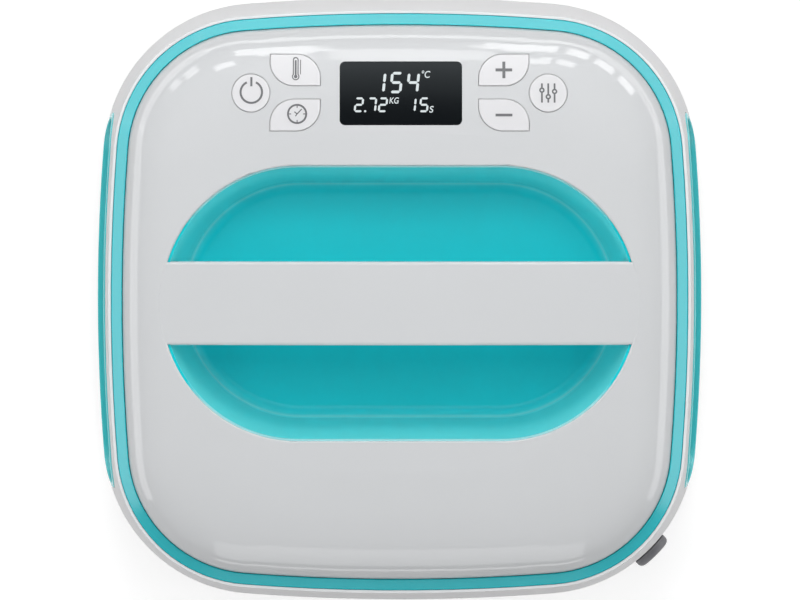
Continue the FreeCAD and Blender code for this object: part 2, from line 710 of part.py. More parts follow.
def rounded_prism(name, x, y, width, depth, low, high, rounds):
    """An upright rectangular prism; rounds maps corner signs to radii."""
    body = new_body(name)
    sides = [(sx, sy) for sx, sy in ((-1, -1), (1, -1), (1, 1), (-1, 1))]
    corners = [(f"{x} + {sx} * ({width}) / 2", f"{y} + {sy} * ({depth}) / 2") for sx, sy in sides]
    sketch = polygon(start_sketch(f"{name}_outline", body, level=low), corners)
    last = pad(body, sketch, f"({high}) - ({low})")
    by_radius = {}
    for signs, radius in rounds.items():
        by_radius.setdefault(radius, []).append(signs)
    for radius, chosen in by_radius.items():
        spots = [(size(corners[sides.index(s)][0]), size(corners[sides.index(s)][1])) for s in chosen]
        last = round_edges(body, last, radius, lambda middle, edge, spots=spots: any(
            math.hypot(middle.x - px, middle.y - py) < 0.01 for px, py in spots))
    return body


# --- heat plate and heater -------------------------------------------------

TUBE_RUNS = 6


def heater_path(sketch):
    """The heater's centre line: parallel runs joined by half circles, open at the rear."""
    reach, pitch = size("tube_reach"), size("tube_pitch")
    lines = []
    sign = -1
    for run in range(TUBE_RUNS):
        x = (run - (TUBE_RUNS - 1) / 2) * pitch
        lines.append(Part.LineSegment(V(x, -sign * reach, 0), V(x, sign * reach, 0)))
        if run < TUBE_RUNS - 1:
            circle = Part.Circle(V(x + pitch / 2, sign * reach, 0), V(0, 0, 1), pitch / 2)
            if sign > 0:
                lines.append(Part.ArcOfCircle(circle, 0, math.pi))
            else:
                lines.append(Part.ArcOfCircle(circle, math.pi, 2 * math.pi))
        sign = -sign
    sketch.addGeometry(lines, False)
    sign = -1
    for run in range(TUBE_RUNS):
        x = f"{run - (TUBE_RUNS - 1) / 2} * tube_pitch"
        tie(sketch, "DistanceX", -1, 1, 2 * run, 1, to=x)
        tie(sketch, "DistanceX", -1, 1, 2 * run, 2, to=x)
        tie(sketch, "DistanceY", -1, 1, 2 * run, 1, to=f"{-sign} * tube_reach")
        tie(sketch, "DistanceY", -1, 1, 2 * run, 2, to=f"{sign} * tube_reach")
        if run < TUBE_RUNS - 1:
            arc = 2 * run + 1
            near, far = (1, 2) if sign < 0 else (2, 1)
            sketch.addConstraint(Sketcher.Constraint("Coincident", 2 * run, 2, arc, near))
            sketch.addConstraint(Sketcher.Constraint("Coincident", arc, far, 2 * run + 2, 1))
            tie(sketch, "DistanceY", -1, 1, arc, 3, to=f"{sign} * tube_reach")
        sign = -sign
    return sketch


def heater_sweep(body, name, radius, kind):
    """Sweep a circle along the heater's centre line, to add or to remove it."""
    path = heater_path(start_sketch(f"{name}_path", body, level=TUBE_LEVEL))
    end = f"{-(TUBE_RUNS - 1) / 2} * tube_pitch"
    section = start_sketch(f"{name}_section", body, "XZ_Plane", level="-tube_reach")
    circles(section, ((end, TUBE_LEVEL),), radius)
    sweep = body.newObject(f"PartDesign::{kind}Pipe", f"{name}_sweep")
    sweep.Profile = section
    sweep.Spine = path
    doc.recompute()
    return sweep


def make_heat_plate():
    """Cast plate with a groove for the heater and posts that carry the frame."""
    body = new_body("heat_plate")
    blank = pad(body, offset_outline(start_sketch("plate_outline", body), "plate_half"), "plate_thickness")
    round_edges(body, blank, "plate_chamfer", lambda middle, edge: abs(middle.z) < 0.01, "Chamfer")
    heater_sweep(body, "groove", "tube_radius + fit_gap / 2", "Subtractive")
    notch_depth = "tube_sink + 2 * fit_gap"
    for index, side in enumerate((-1, 1)):
        x = f"{side * (TUBE_RUNS - 1) / 2} * tube_pitch"
        notch = start_sketch(f"terminal_notch_{index}", body, level="plate_thickness")
        half = "(tube_radius + 2 * fit_gap)"
        length = "(tube_reach + terminal_length + pin_length + 2 * fit_gap)"
        polygon(notch, (
            (f"{x} - {half}", "tube_reach"), (f"{x} + {half}", "tube_reach"),
            (f"{x} + {half}", length), (f"{x} - {half}", length),
        ))
        pocket(body, notch, notch_depth)
    posts = circles(start_sketch("posts", body, level="plate_thickness"),
                    all_round(POST_REACH, "post_spread"), "post_radius")
    pad(body, posts, "post_height")
    holes = circles(start_sketch("post_holes", body, level="plate_thickness + post_height"),
                    all_round(POST_REACH, "post_spread"), "screw_radius")
    pocket(body, holes, "pilot_depth - frame_shelf")
    return piece(body, "heat_plate")


def make_heater():
    body = new_body("heating_element")
    heater_sweep(body, "heater", "tube_radius", "Additive")
    return piece(body, "heating_element")


def make_terminals():
    """Ceramic bush and spade pin on each end of the heater."""
    body = new_body("terminal")
    profile = polygon(start_sketch("terminal_profile", body, "YZ_Plane"), (
        ("0", "0"), ("0", "tube_radius"),
        ("terminal_length * 0.6", "tube_radius"), ("terminal_length", "tube_radius * 0.7"),
        ("terminal_length", "tube_radius * 0.35"), ("terminal_length + pin_length", "tube_radius * 0.35"),
        ("terminal_length + pin_length", "0"),
    ))
    turn = body.newObject("PartDesign::Revolution", "terminal_turn")
    turn.Profile = profile
    turn.ReferenceAxis = (profile, ["H_Axis"])
    turn.Angle = FULL_TURN
    doc.recompute()
    ends = [(f"{side * (TUBE_RUNS - 1) / 2} * tube_pitch", "tube_reach", TUBE_LEVEL) for side in (-1, 1)]
    return piece(group("heater_terminals", body, ends), "heater_terminals")


def make_sensor():
    """Temperature sensor block on the plate, between the middle runs of the heater."""
    solid = block("sensor_block", "sensor_width", "sensor_width * 0.8", "sensor_height",
                  z="plate_thickness")
    bore = cylinder("sensor_bore", "screw_radius", "sensor_height", z="plate_thickness")
    return piece(cut("temperature_sensor", solid, bore), "temperature_sensor")


def make_fuse():
    """Thermal fuse that lies on the plate between two runs of the heater."""
    solid = cylinder("fuse_can", "fuse_radius", "fuse_length", "tube_pitch", "fuse_length / 2",
                     "plate_thickness + fuse_radius", axis=V(1, 0, 0))
    strap = block("fuse_strap_bar", "fuse_strap", "fuse_length / 3", "fuse_radius * 2 + fit_gap",
                  "tube_pitch", 0, "plate_thickness")
    return piece(fuse("thermal_fuse", solid, strap), "thermal_fuse")


# --- insulation, frame and load cells ---------------------------------------

def make_insulation_pad():
    rows = (("pad_half", PAD_LOW), ("pad_half", PAD_TOP))
    return piece(stack("insulation_pad", rows), "insulation_pad")


def make_heat_shield():
    """Sheet-metal tray over the insulation; its rim stands on the frame's shelf."""
    rows = (("shield_half", SHELF_TOP), ("shield_half", f"{PAD_TOP} + shield_sheet"))
    inner = "shield_half - shield_sheet"
    hollow = stack("shield_hollow", ((inner, f"{SHELF_TOP} - {OVERRUN}"), (inner, PAD_TOP)))
    return piece(cut("heat_shield", stack("shield_blank", rows), hollow), "heat_shield")


def make_base_frame():
    """Heat-resistant ring round the plate, with a shelf that carries everything above."""
    ring = stack("frame_ring", (
        (f"{FRAME_HALF} - frame_bevel", "frame_bottom"),
        (FRAME_HALF, "frame_bottom + frame_bevel"),
        (FRAME_HALF, SHELF_TOP),
    ))
    well = "plate_half + frame_gap"
    room = stack("frame_room", ((well, f"frame_bottom - {OVERRUN}"), (well, SHELF_LOW)))
    opening = stack("frame_window", (
        ("frame_opening", SHELF_LOW),
        ("frame_opening", f"{SHELF_TOP} + {OVERRUN}"),
    ))
    spots = all_round(POST_REACH, "post_spread") + side_boss_spots()
    holes = drills("frame_hole", spots, "screw_radius + slide_gap", "frame_shelf", SHELF_LOW)
    return piece(cut("base_frame", ring, room, opening, *holes), "base_frame")


def side_boss_spots():
    """Two housing bosses along each side that has no side grip."""
    return [(f"{sx}side_boss_spread", f"{sy}{SIDE_BOSS_REACH}") for sx in ("", "-") for sy in ("", "-")]


def corner_spot(quarter, along):
    """A spot on the load cell's line across a corner, as formulas."""
    diagonal = RIGHT_ANGLE * (quarter + 0.5)
    out_x, out_y = f"cos({diagonal})", f"sin({diagonal})"
    return (f"{LOAD_CELL_REACH} * {out_x} + ({along}) * {out_y}",
            f"{LOAD_CELL_REACH} * {out_y} - ({along}) * {out_x}")


def make_load_cells():
    """Bending-beam load cell across each corner, clamped at one end and loaded at the other."""
    body = new_body("load_cell")
    half = "load_cell_length / 2"
    beam = polygon(start_sketch("beam_side", body, "XZ_Plane"), (
        (f"-{half}", "0"), ("-load_cell_length / 4", "0"), ("-load_cell_length / 4", "load_cell_lift"),
        (half, "load_cell_lift"), (half, "load_cell_height + 2 * load_cell_lift"),
        ("load_cell_length / 4", "load_cell_height + 2 * load_cell_lift"),
        ("load_cell_length / 4", "load_cell_height + load_cell_lift"),
        (f"-{half}", "load_cell_height + load_cell_lift"),
    ))
    pad(body, beam, "load_cell_width", SideType="Symmetric")
    waist = slot(start_sketch("beam_waist", body, "XZ_Plane"), "load_cell_height * 0.5",
                 "load_cell_height * 0.3", "load_cell_height / 2 + load_cell_lift")
    pocket(body, waist, "load_cell_width", SideType="Symmetric")
    spots = [(*corner_spot(quarter, "0"), SHELF_TOP) for quarter in CORNERS]
    turns = [RIGHT_ANGLE * (quarter - 0.5) for quarter in CORNERS]
    return piece(group("load_cells", body, spots, turns), "load_cells")


# --- lower housing ------------------------------------------------------------


def grip_slot(name, radius, low, high, side):
    """A slot-shaped prism through a side wall, between two distances from the middle."""
    body = new_body(name)
    level = low if side > 0 else f"-({high})"
    sketch = slot(start_sketch(f"{name}_slot", body, "YZ_Plane", level), "grip_reach", radius, "grip_level")
    pad(body, sketch, f"({high}) - ({low})")
    return body


def corner_cylinder(name, radius, length, reach):
    """A level cylinder on the diagonal through the front right corner."""
    return cylinder(name, radius, length, f"({reach}) / sqrt(2)", f"-({reach}) / sqrt(2)", "gland_level",
                    axis=V(1, 1, 0), angle=RIGHT_ANGLE)


def bumper_form(name, grow, low, high):
    """A rounded bar across the middle of the rear wall."""
    body = new_body(name)
    sketch = slot(start_sketch(f"{name}_slot", body, "XZ_Plane", f"-({high})"),
                  "bumper_width / 2 - bumper_height / 2", f"bumper_height / 2 + {grow}", "skirt_widest")
    pad(body, sketch, f"({high}) - ({low})")
    return body


def make_lower_housing():
    """Moulded skirt with an inward ledge, grip openings, bosses and the gland's seat."""
    outer = skirt("skirt_outer", "0")
    inner = skirt("skirt_inner", "skirt_wall")
    below = block("below_ledge", "4 * skirt_half", "4 * skirt_half", LEDGE_LOW)
    cavity = common("housing_cavity", inner, below)
    window = stack("ledge_window", (
        (LEDGE_WINDOW, f"{LEDGE_LOW} - {OVERRUN}"),
        (LEDGE_WINDOW, f"ledge_level + {OVERRUN}"),
    ))
    seat = "skirt_top_half - lip_thickness"
    rabbet = stack("trim_rabbet", ((seat, "ledge_level"), (seat, f"skirt_top + {OVERRUN}")))
    screw_holes = drills("ledge_hole", all_round(SHELL_BOSS_REACH, "shell_boss_spread"),
                         "screw_radius + slide_gap", "ledge_thickness", LEDGE_LOW)
    shell = cut("housing_shell", outer, cavity, window, rabbet, *screw_holes)

    frames = []
    holes = []
    for side, word in ((1, "right"), (-1, "left")):
        frames.append(grip_slot(f"grip_frame_{word}", "grip_radius + grip_flange", GRIP_BACK,
                                WALL_PAST, side))
        holes.append(grip_slot(f"grip_hole_{word}", "grip_radius + slide_gap", f"{GRIP_BACK} - {OVERRUN}",
                               WALL_PAST, side))
    middle_skin = skirt("skirt_mid", "skirt_wall / 2")
    frame_rings = common("grip_frames", fuse("grip_frame_blanks", *frames), middle_skin)

    boss_top = "ledge_level - ledge_thickness / 2"
    side_bosses = pins("side_boss", side_boss_spots(), "boss_radius", f"{boss_top} - {SHELF_TOP}",
                       SHELF_TOP)
    cell_top = f"({SHELF_TOP} + load_cell_height + 2 * load_cell_lift)"
    cell_spots = [corner_spot(quarter, "load_cell_length * 0.375") for quarter in CORNERS]
    cell_bosses = pins("cell_boss", cell_spots, "load_cell_width / 2", f"{boss_top} - {cell_top}", cell_top)
    side_pilots = pilots("side_pilot", side_boss_spots(), "pilot_depth", SHELF_TOP)
    walled = fuse("housing_walled", shell, frame_rings, *side_bosses, *cell_bosses)

    collar_seat = corner_cylinder("gland_seat", "gland_radius + fit_gap", "3 * gland_collar", GLAND_SEAT)
    neck_hole = corner_cylinder("gland_hole", "gland_neck + slide_gap", "2 * gland_neck_length",
                                f"{GLAND_SEAT} - gland_neck_length")
    bumper_seat = bumper_form("bumper_seat", "fit_gap / 2", "skirt_half - bumper_depth", WALL_PAST)
    return piece(cut("lower_housing", walled, *holes, *side_pilots, collar_seat, neck_hole, bumper_seat),
                 "lower_housing")


def make_side_grip(side, word):
    """Tray of a side grip: its rim follows the housing's bowed wall."""
    skin = skirt(f"grip_{word}_skin", "-grip_proud")
    blank = grip_slot(f"grip_{word}_blank", "grip_radius", GRIP_BACK, WALL_PAST, side)
    wall = common(f"grip_{word}_wall", blank, skin)
    flange = grip_slot(f"grip_{word}_flange", "grip_radius + grip_flange - fit_gap",
                       f"{GRIP_BACK} - grip_wall", GRIP_BACK, side)
    hollow = grip_slot(f"grip_{word}_hollow", "grip_radius - grip_wall", GRIP_FLOOR, WALL_PAST, side)
    floor_edge = side * size(GRIP_FLOOR)
    round_edges(hollow, hollow.Tip, "grip_radius / 3",
                lambda middle, edge: abs(middle.x - floor_edge) < 2 * TOUCH)
    label = f"side_grip_{word}"
    tray = cut(f"grip_{word}_tray", fuse(f"grip_{word}_body", wall, flange), hollow)
    return piece(round_rim(label, tray, skin, "grip_rim_round"), label)


def make_trim_ring():
    """Sloped coloured ring between the housing's lip and the top shell."""
    edge = "skirt_top_half - lip_thickness - fit_gap / 2"
    crest = "rim_half + fit_gap"
    outer = stack("trim_outer", (
        (edge, "ledge_level"), (edge, "trim_edge"), (f"{crest} + trim_land", "trim_crest"),
    ))
    inner = stack("trim_inner", (
        (crest, f"ledge_level - {OVERRUN}"), (crest, f"trim_crest + {OVERRUN}"),
    ))
    return piece(cut("trim_ring", outer, inner), "trim_ring")


# --- cord gland and bumper ------------------------------------------------------


def make_cord_gland():
    """Rounded collar and threaded neck through the front right corner, with its lock nut."""
    collar = corner_cylinder("gland_collar_blank", "gland_radius", "gland_collar", GLAND_SEAT)
    rim = doc.addObject("Part::Fillet", "gland_collar_rounded")
    rim.Base = collar
    doc.recompute()
    outer = size(f"{GLAND_SEAT} + gland_collar")
    chosen = edges_where(collar.Shape, lambda middle, edge: (
        isinstance(edge.Curve, Part.Circle)
        and abs((edge.Curve.Center.x - edge.Curve.Center.y) / math.sqrt(2) - outer) < 0.01))
    rounding = size("gland_collar * 0.6")
    rim.Edges = [(int(name[4:]), rounding, rounding) for name in chosen]
    neck = corner_cylinder("gland_neck_blank", "gland_neck", "gland_neck_length",
                           f"{GLAND_SEAT} - gland_neck_length")
    bore = corner_cylinder("gland_bore_tool", "gland_bore", "3 * gland_neck_length",
                           f"{GLAND_SEAT} - 2 * gland_neck_length")
    return piece(cut("cord_gland", fuse("gland_blank", rim, neck), bore), "cord_gland")


def make_gland_nut():
    """Lock nut on the gland's neck, against a flat on the inside of the wall."""
    seat = f"{GLAND_SEAT} - skirt_wall - gland_nut_length - 3 * fit_gap"
    blank = corner_cylinder("gland_nut_blank", "gland_nut", "gland_nut_length", seat)
    bore = corner_cylinder("gland_nut_bore", "gland_neck + fit_gap / 2", "3 * gland_nut_length",
                           f"{seat} - gland_nut_length")
    return piece(cut("gland_nut", blank, bore), "gland_nut")


def make_bumper():
    blank = bumper_form("bumper_blank", "0", "skirt_half - bumper_depth", WALL_PAST)
    skin = skirt("bumper_skin", "-bumper_proud")
    return piece(common("rear_bumper", blank, skin), "rear_bumper")


# --- scoop, handle and top shell ----------------------------------------------


def scoop_boss_spots():
    """Spots round the scoop's flange: four near the ends and four along the sides."""
    ring = "(scoop_radius + scoop_wall + scoop_boss_radius + fit_gap)"
    spots = []
    for sx in ("", "-"):
        for sy in ("", "-"):
            spots.append((f"{sx}(scoop_centre + {ring} * cos(40))", f"{sy}({ring} * sin(40))"))
            spots.append((f"{sx}scoop_centre * 0.55", f"{sy}{ring}"))
    return spots


def make_scoop(under_shell):
    """Coloured tub under the handle, hung from the shell by its flange."""
    tub = common("scoop_tub", scoop_form("scoop_outer", "-scoop_wall"), under_shell)
    flange = slot_prism("scoop_flange_ring", "scoop_radius + scoop_flange", "scoop_flange_level",
                        FLANGE_TOP)
    holes = drills("scoop_hole", scoop_boss_spots(), "screw_radius + slide_gap", "scoop_flange_thickness",
                   "scoop_flange_level")
    body = fuse("scoop_body", tub, flange)
    return piece(cut("handle_scoop", body, scoop_form("scoop_hollow", "0"), *holes), "handle_scoop")


def handle_screw_spots():
    return [(f"{sign}handle_screw_{where}", "0") for sign in ("", "-") for where in ("inner", "outer")]


def handle_screw_seats():
    """Where each handle screw's head seats, lower towards the handle's ends."""
    return [(x, y, f"({HANDLE_SEAT} - ({x})^2 / (2 * {SPLIT_RADIUS}))") for x, y in handle_screw_spots()]


def handle_boss_seats():
    """Where each screw boss of the handle's upper half starts, just above the underside."""
    low = f"{SPLIT_LEVEL} + 2 * fit_gap"
    return [(x, y, f"({low} - ({x})^2 / (2 * {SPLIT_RADIUS}))") for x, y in handle_screw_spots()]


def arch_side_edges(radius):
    """Test for the long edges of an arched band with this radius."""
    half = size("handle_width / 2")
    wanted = size(radius)
    return lambda middle, edge: (
        abs(abs(middle.y) - half) < 0.01
        and isinstance(edge.Curve, Part.Circle)
        and abs(edge.Curve.Radius - wanted) < 0.01)


def make_handle_cap():
    """Upper half of the handle: an arched channel, open below."""
    body = new_body("handle_cap")
    band = arched_band(start_sketch("cap_side", body, "XZ_Plane"), HANDLE_END,
                       "handle_top", ARCH_RADIUS, SPLIT_LEVEL, SPLIT_RADIUS)
    blank = pad(body, band, "handle_width", SideType="Symmetric")
    round_edges(body, blank, "handle_edge", arch_side_edges(ARCH_RADIUS))
    channel = arched_band(start_sketch("cap_channel", body, "XZ_Plane"), f"{HANDLE_END} - {OVERRUN}",
                          "handle_top - handle_wall", f"{ARCH_RADIUS} - handle_wall",
                          f"{SPLIT_LEVEL} - handle_wall", f"{SPLIT_RADIUS} - handle_wall")
    pocket(body, channel, "handle_width - 2 * handle_wall", SideType="Symmetric")
    return body


def make_web_form():
    """Room for the shell's web inside the handle, below the middle of the handle's wall."""
    body = new_body("web_form")
    band = arched_band(start_sketch("web_side", body, "XZ_Plane"), f"{ARCH_REACH} + 2 * handle_wall",
                       "handle_top - handle_wall / 2", f"{ARCH_RADIUS} - handle_wall / 2",
                       SPLIT_LEVEL, SPLIT_RADIUS)
    pad(body, band, "handle_strip", SideType="Symmetric")
    return body


def make_handle_underside(seat):
    """Lower half of the handle: rounded where the fingers curl, deeper at its ends."""
    body = new_body("handle_grip")
    band = arched_band(start_sketch("grip_side", body, "XZ_Plane"), HANDLE_END,
                       SPLIT_LEVEL, SPLIT_RADIUS, "handle_grip_level", GRIP_ARCH_RADIUS)
    blank = pad(body, band, "handle_width", SideType="Symmetric")
    round_edges(body, blank, "handle_grip_edge", arch_side_edges(GRIP_ARCH_RADIUS))
    fitted = common("handle_grip_fitted", body, seat)
    bores = []
    for index, (x, y, head_seat) in enumerate(handle_screw_seats(), start=1):
        bores.append(cylinder(f"grip_bore_{index}", "screw_radius + slide_gap", "handle_cap_height",
                              x, y, head_seat))
        bores.append(cylinder(f"grip_counterbore_{index}", "screw_head + fit_gap",
                              f"{head_seat} - scoop_floor", x, y, "scoop_floor"))
    return piece(cut("handle_underside", fitted, *bores), "handle_underside")


BUTTONS = (
    ("power_button", "-button_side", "button_middle", None),
    ("temperature_button", "-leaf_side", "leaf_rear", ((1, 1), (-1, -1))),
    ("timer_button", "-leaf_side", "leaf_front", ((-1, 1), (1, -1))),
    ("plus_button", "leaf_side", "leaf_rear", ((-1, 1), (1, -1))),
    ("minus_button", "leaf_side", "leaf_front", ((1, 1), (-1, -1))),
    ("mode_button", "button_side", "button_middle", None),
)


def button_prism(name, x, y, round_corners, grow):
    """The upright outline of a button, grown by a clearance or a flange."""
    if round_corners is None:
        return cylinder(name, f"button_radius + {grow}", f"{BLANK_TOP} - board_level", x, y, "board_level")
    rounds = {corner: f"leaf_round + {grow}" for corner in round_corners}
    return rounded_prism(name, x, y, f"leaf_width + 2 * ({grow})", f"leaf_depth + 2 * ({grow})",
                         "board_level", BLANK_TOP, rounds)


def display_prism(name, grow):
    rounds = {(sx, sy): f"display_round + {grow}" for sx in (-1, 1) for sy in (-1, 1)}
    return rounded_prism(name, "display_skew", "display_middle", f"display_width + 2 * ({grow})",
                         f"display_depth + 2 * ({grow})", "board_level", BLANK_TOP, rounds)


def board_spots():
    """The four screw spots of the circuit boards."""
    rows = ("board_front + board_hole_inset", "board_rear - board_hole_inset")
    return [(f"{side}board_hole_side", y) for side in ("", "-") for y in rows]


def on_opening(point):
    """Whether a point lies on the upright wall of the opening round the handle."""
    reach = math.hypot(max(abs(point.x) - size("scoop_centre"), 0), point.y)
    return abs(reach - size("scoop_radius")) < 0.01


def make_top_shell(outer, inner, middle, seat, cap):
    """Domed shell with the opening round the handle, and the handle's upper half."""
    plain = cut("shell_plain", outer, inner)
    opening = slot_prism("shell_opening", "scoop_radius", "scoop_floor", BLANK_TOP)
    web = common("handle_web", plain, make_web_form())
    keys = [button_prism(f"{name}_hole", x, y, corners, "slide_gap") for name, x, y, corners in BUTTONS]
    window = display_prism("display_hole", "fit_gap / 2")
    skin = round_rim("shell_skin", cut("shell_skin_sharp", plain, opening, window, *keys), outer,
                     "opening_round", on_opening)

    span = slot_prism("handle_span", "scoop_radius + opening_round", "scoop_floor", BLANK_TOP)
    handle_parts = [
        common("handle_low_part", cap, seat),
        cut("handle_high_part", common("handle_spanned", cap, span), middle),
    ]

    rim_spots = all_round(SHELL_BOSS_REACH, "shell_boss_spread")
    bosses = pins("shell_boss", rim_spots, "shell_boss_radius", f"{BLANK_TOP} - ledge_level",
                  "ledge_level")
    bosses += pins("board_boss", board_spots(), "board_boss_radius", f"{BLANK_TOP} - {BOARD_TOP}",
                   BOARD_TOP)
    bosses += pins("scoop_boss", scoop_boss_spots(), "scoop_boss_radius",
                   f"{BLANK_TOP} - {FLANGE_TOP}", FLANGE_TOP)
    for index, (x, y, low) in enumerate(handle_boss_seats(), start=1):
        bosses.append(cylinder(f"handle_boss_{index}", "shell_boss_radius",
                               "handle_cap_height - handle_wall", x, y, low))
    posts = common("shell_posts", fuse("boss_blanks", *bosses), middle)

    holes = pilots("shell_pilot", rim_spots, "pilot_depth", "ledge_level")
    holes += pilots("board_pilot", board_spots(), "board_pilot_depth", BOARD_TOP)
    holes += pilots("scoop_pilot", scoop_boss_spots(), "scoop_pilot_depth", FLANGE_TOP)
    for index, (x, y, low) in enumerate(handle_boss_seats(), start=1):
        holes += pilots(f"handle_pilot_{index}", [(x, y)], "pilot_depth", low)
    moulding = fuse("shell_moulding", skin, web, *handle_parts, posts)
    return piece(cut("top_shell", moulding, *holes), "top_shell")


def make_buttons(cap_top, lip_top, lip_low):
    """Six buttons with rounded faces that follow the shell, each with a flange and a stem."""
    cap_band = cut("button_cap_band", cap_top, lip_low)
    lip_band = cut("button_lip_band", lip_top, lip_low)
    for name, x, y, corners in BUTTONS:
        blank = common(f"{name}_cap", button_prism(f"{name}_cap_blank", x, y, corners, "0"), cap_band)
        cap = round_rim(f"{name}_cap_rounded", blank, cap_top, "button_round")
        flange = button_prism(f"{name}_lip_blank", x, y, corners, "button_lip")
        lip = common(f"{name}_lip", flange, lip_band)
        post = cylinder(f"{name}_stem_blank", "stem_radius", f"{BLANK_TOP} - {STEM_LOW}",
                        x, y, STEM_LOW)
        stem = common(f"{name}_stem", post, lip_top)
        piece(fuse(name, cap, lip, stem), name)


def make_display_lens(lens_top, lens_low):
    """Smoked lens that is flush with the shell, with a flange under the shell."""
    floor = dome("lens_floor", "shell_wall + fit_gap + lens_thickness")
    body = common("lens_body", display_prism("lens_blank", "0"), cut("lens_band", lens_top, floor))
    flange = common("lens_flange", display_prism("lens_flange_blank", "lens_lip"),
                    cut("lens_flange_band", lens_low, floor))
    return piece(fuse("display_lens", body, flange), "display_lens")


# --- electronics -------------------------------------------------------------

def board(name, level):
    solid = block(f"{name}_blank", "board_width", "board_rear - board_front", "board_thickness",
                  0, BOARD_MIDDLE, level)
    holes = drills(f"{name}_hole", board_spots(), "screw_radius + slide_gap", "board_thickness", level)
    return piece(cut(name, solid, *holes), name)


def make_keypad():
    """Silicone sheets with a dome under each button, either side of the display module."""
    solids = []
    for index, side in enumerate(("-", ""), start=1):
        sheet_blank = block(f"keypad_sheet_{index}", "keypad_width",
                            "board_rear - board_front - 2 * keypad_margin", "keypad_sheet",
                            f"{side}keypad_side", BOARD_MIDDLE, BOARD_TOP)
        domes = []
        for name, x, y, corners in BUTTONS:
            if x.startswith("-") == (side == "-"):
                cone = doc.addObject("Part::Cone", f"{name}_dome")
                bind(cone, Radius1="keypad_dome_radius", Radius2="keypad_dome_radius * 0.6",
                     Height="keypad_dome_height")
                domes.append(place(cone, x, y, KEYPAD_TOP))
        solids.append(fuse(f"keypad_half_{index}", sheet_blank, *domes))
    compound = doc.addObject("Part::Compound", "keypad_set")
    compound.Links = solids
    doc.recompute()
    return piece(compound, "silicone_keypad")


def make_lcd_module():
    """Liquid-crystal panel in its frame, standing on the display board."""
    frame = block("lcd_frame", "lcd_width", "lcd_depth", "lcd_height",
                  "display_skew", "display_middle", BOARD_TOP)
    glass = block("lcd_glass", "lcd_width - 2 * lcd_frame_width",
                  "lcd_depth - 2 * lcd_frame_width", "lcd_height",
                  "display_skew", "display_middle", f"{BOARD_TOP} + lcd_height - lcd_recess")
    return piece(cut("lcd_module", frame, glass), "lcd_module")


def make_buzzer():
    can = cylinder("buzzer_can", "buzzer_radius", "buzzer_height", "display_skew",
                   "board_front + buzzer_radius", BOARD_TOP)
    mouth = cylinder("buzzer_mouth", "buzzer_radius / 4", "buzzer_height", "display_skew",
                     "board_front + buzzer_radius", f"{BOARD_TOP} + buzzer_height / 2")
    return piece(cut("buzzer", can, mouth), "buzzer")


def make_relay():
    solid = block("relay", "relay_width", "relay_depth", "relay_height",
                  "relay_side", BOARD_MIDDLE, POWER_BOARD_TOP)
    return piece(solid, "relay")


def make_transformer():
    """Laminated core with two windows and a coil on its middle limb."""
    side = "-core_side"
    core = block("transformer_core", "core_width", "core_depth", "core_height",
                 side, BOARD_MIDDLE, POWER_BOARD_TOP)
    window_low = f"{POWER_BOARD_TOP} + core_yoke"
    window_height = "core_height - 2 * core_yoke"
    window_width = "(core_width - 2 * core_limb)"
    window = block("transformer_window", window_width, "2 * core_depth", window_height,
                   side, BOARD_MIDDLE, window_low)
    winding = cylinder("transformer_winding", "coil_radius", "core_depth", side,
                       f"{BOARD_MIDDLE} + core_depth / 2", f"{POWER_BOARD_TOP} + core_height / 2",
                       axis=V(1, 0, 0))
    room = block("coil_room", f"{window_width} - 2 * coil_gap", "2 * core_depth", window_height,
                 side, BOARD_MIDDLE, window_low)
    coil = common("transformer_coil", winding, room)
    return piece(fuse("transformer", cut("transformer_frame", core, window), coil), "transformer")


def make_capacitors():
    can = cylinder("capacitor_can", "can_radius", "can_height")
    spots = [(f"-(can_side + {index} * can_pitch)", BOARD_MIDDLE, POWER_BOARD_TOP) for index in (0, 1)]
    return piece(group("capacitors", can, spots), "capacitors")


FINS = 5


def make_heat_sink():
    """Extruded heat sink with upright fins on a foot."""
    body = new_body("heat_sink_body")
    corners = [("0", "0")]
    for index in range(FINS):
        left = f"{index} * (sink_width - sink_fin) / {FINS - 1}"
        corners += [(left, "sink_height"), (f"{left} + sink_fin", "sink_height")]
        if index < FINS - 1:
            following = f"{index + 1} * (sink_width - sink_fin) / {FINS - 1}"
            corners += [(f"{left} + sink_fin", "sink_foot"), (following, "sink_foot")]
    corners.append(("sink_width", "0"))
    profile = polygon(start_sketch("heat_sink_fins", body, "XZ_Plane"),
                      [(f"sink_side + {x}", f"{POWER_BOARD_TOP} + {z}") for x, z in corners])
    pad(body, profile, "sink_depth", SideType="Symmetric")
    place(body, y=BOARD_MIDDLE)
    return piece(body, "heat_sink")


TERMINALS = 3


def make_terminal_block():
    """Screw terminals for the mains lead, at the right end of the power board."""
    x = "board_width / 2 - terminal_inset"
    body = block("terminal_blank", "terminal_width", f"{TERMINALS} * terminal_pitch", "terminal_height",
                 x, BOARD_MIDDLE, POWER_BOARD_TOP)
    wells = [
        cylinder(f"terminal_well_{index}", "terminal_well", "terminal_height", x,
                 f"{BOARD_MIDDLE} + {index - (TERMINALS - 1) / 2} * terminal_pitch",
                 f"{POWER_BOARD_TOP} + terminal_height / 2")
        for index in range(TERMINALS)
    ]
    return piece(cut("terminal_block", body, *wells), "terminal_block")


# --- assembly ----------------------------------------------------------------

make_heat_plate()
make_heater()
make_terminals()
make_sensor()
make_fuse()
make_insulation_pad()
make_heat_shield()
make_base_frame()
make_load_cells()
make_lower_housing()
make_side_grip(1, "right")
make_side_grip(-1, "left")
make_trim_ring()
make_cord_gland()
make_gland_nut()
make_bumper()

shell_outer = dome("shell_outer", "0")
shell_inner = dome("shell_inner", "shell_wall")
shell_middle = dome("shell_middle", "shell_wall / 2")
below_shell = dome("below_shell", "shell_wall + fit_gap", "scoop_floor - 2 * scoop_wall")
handle_seat = scoop_form("handle_seat", "fit_gap")

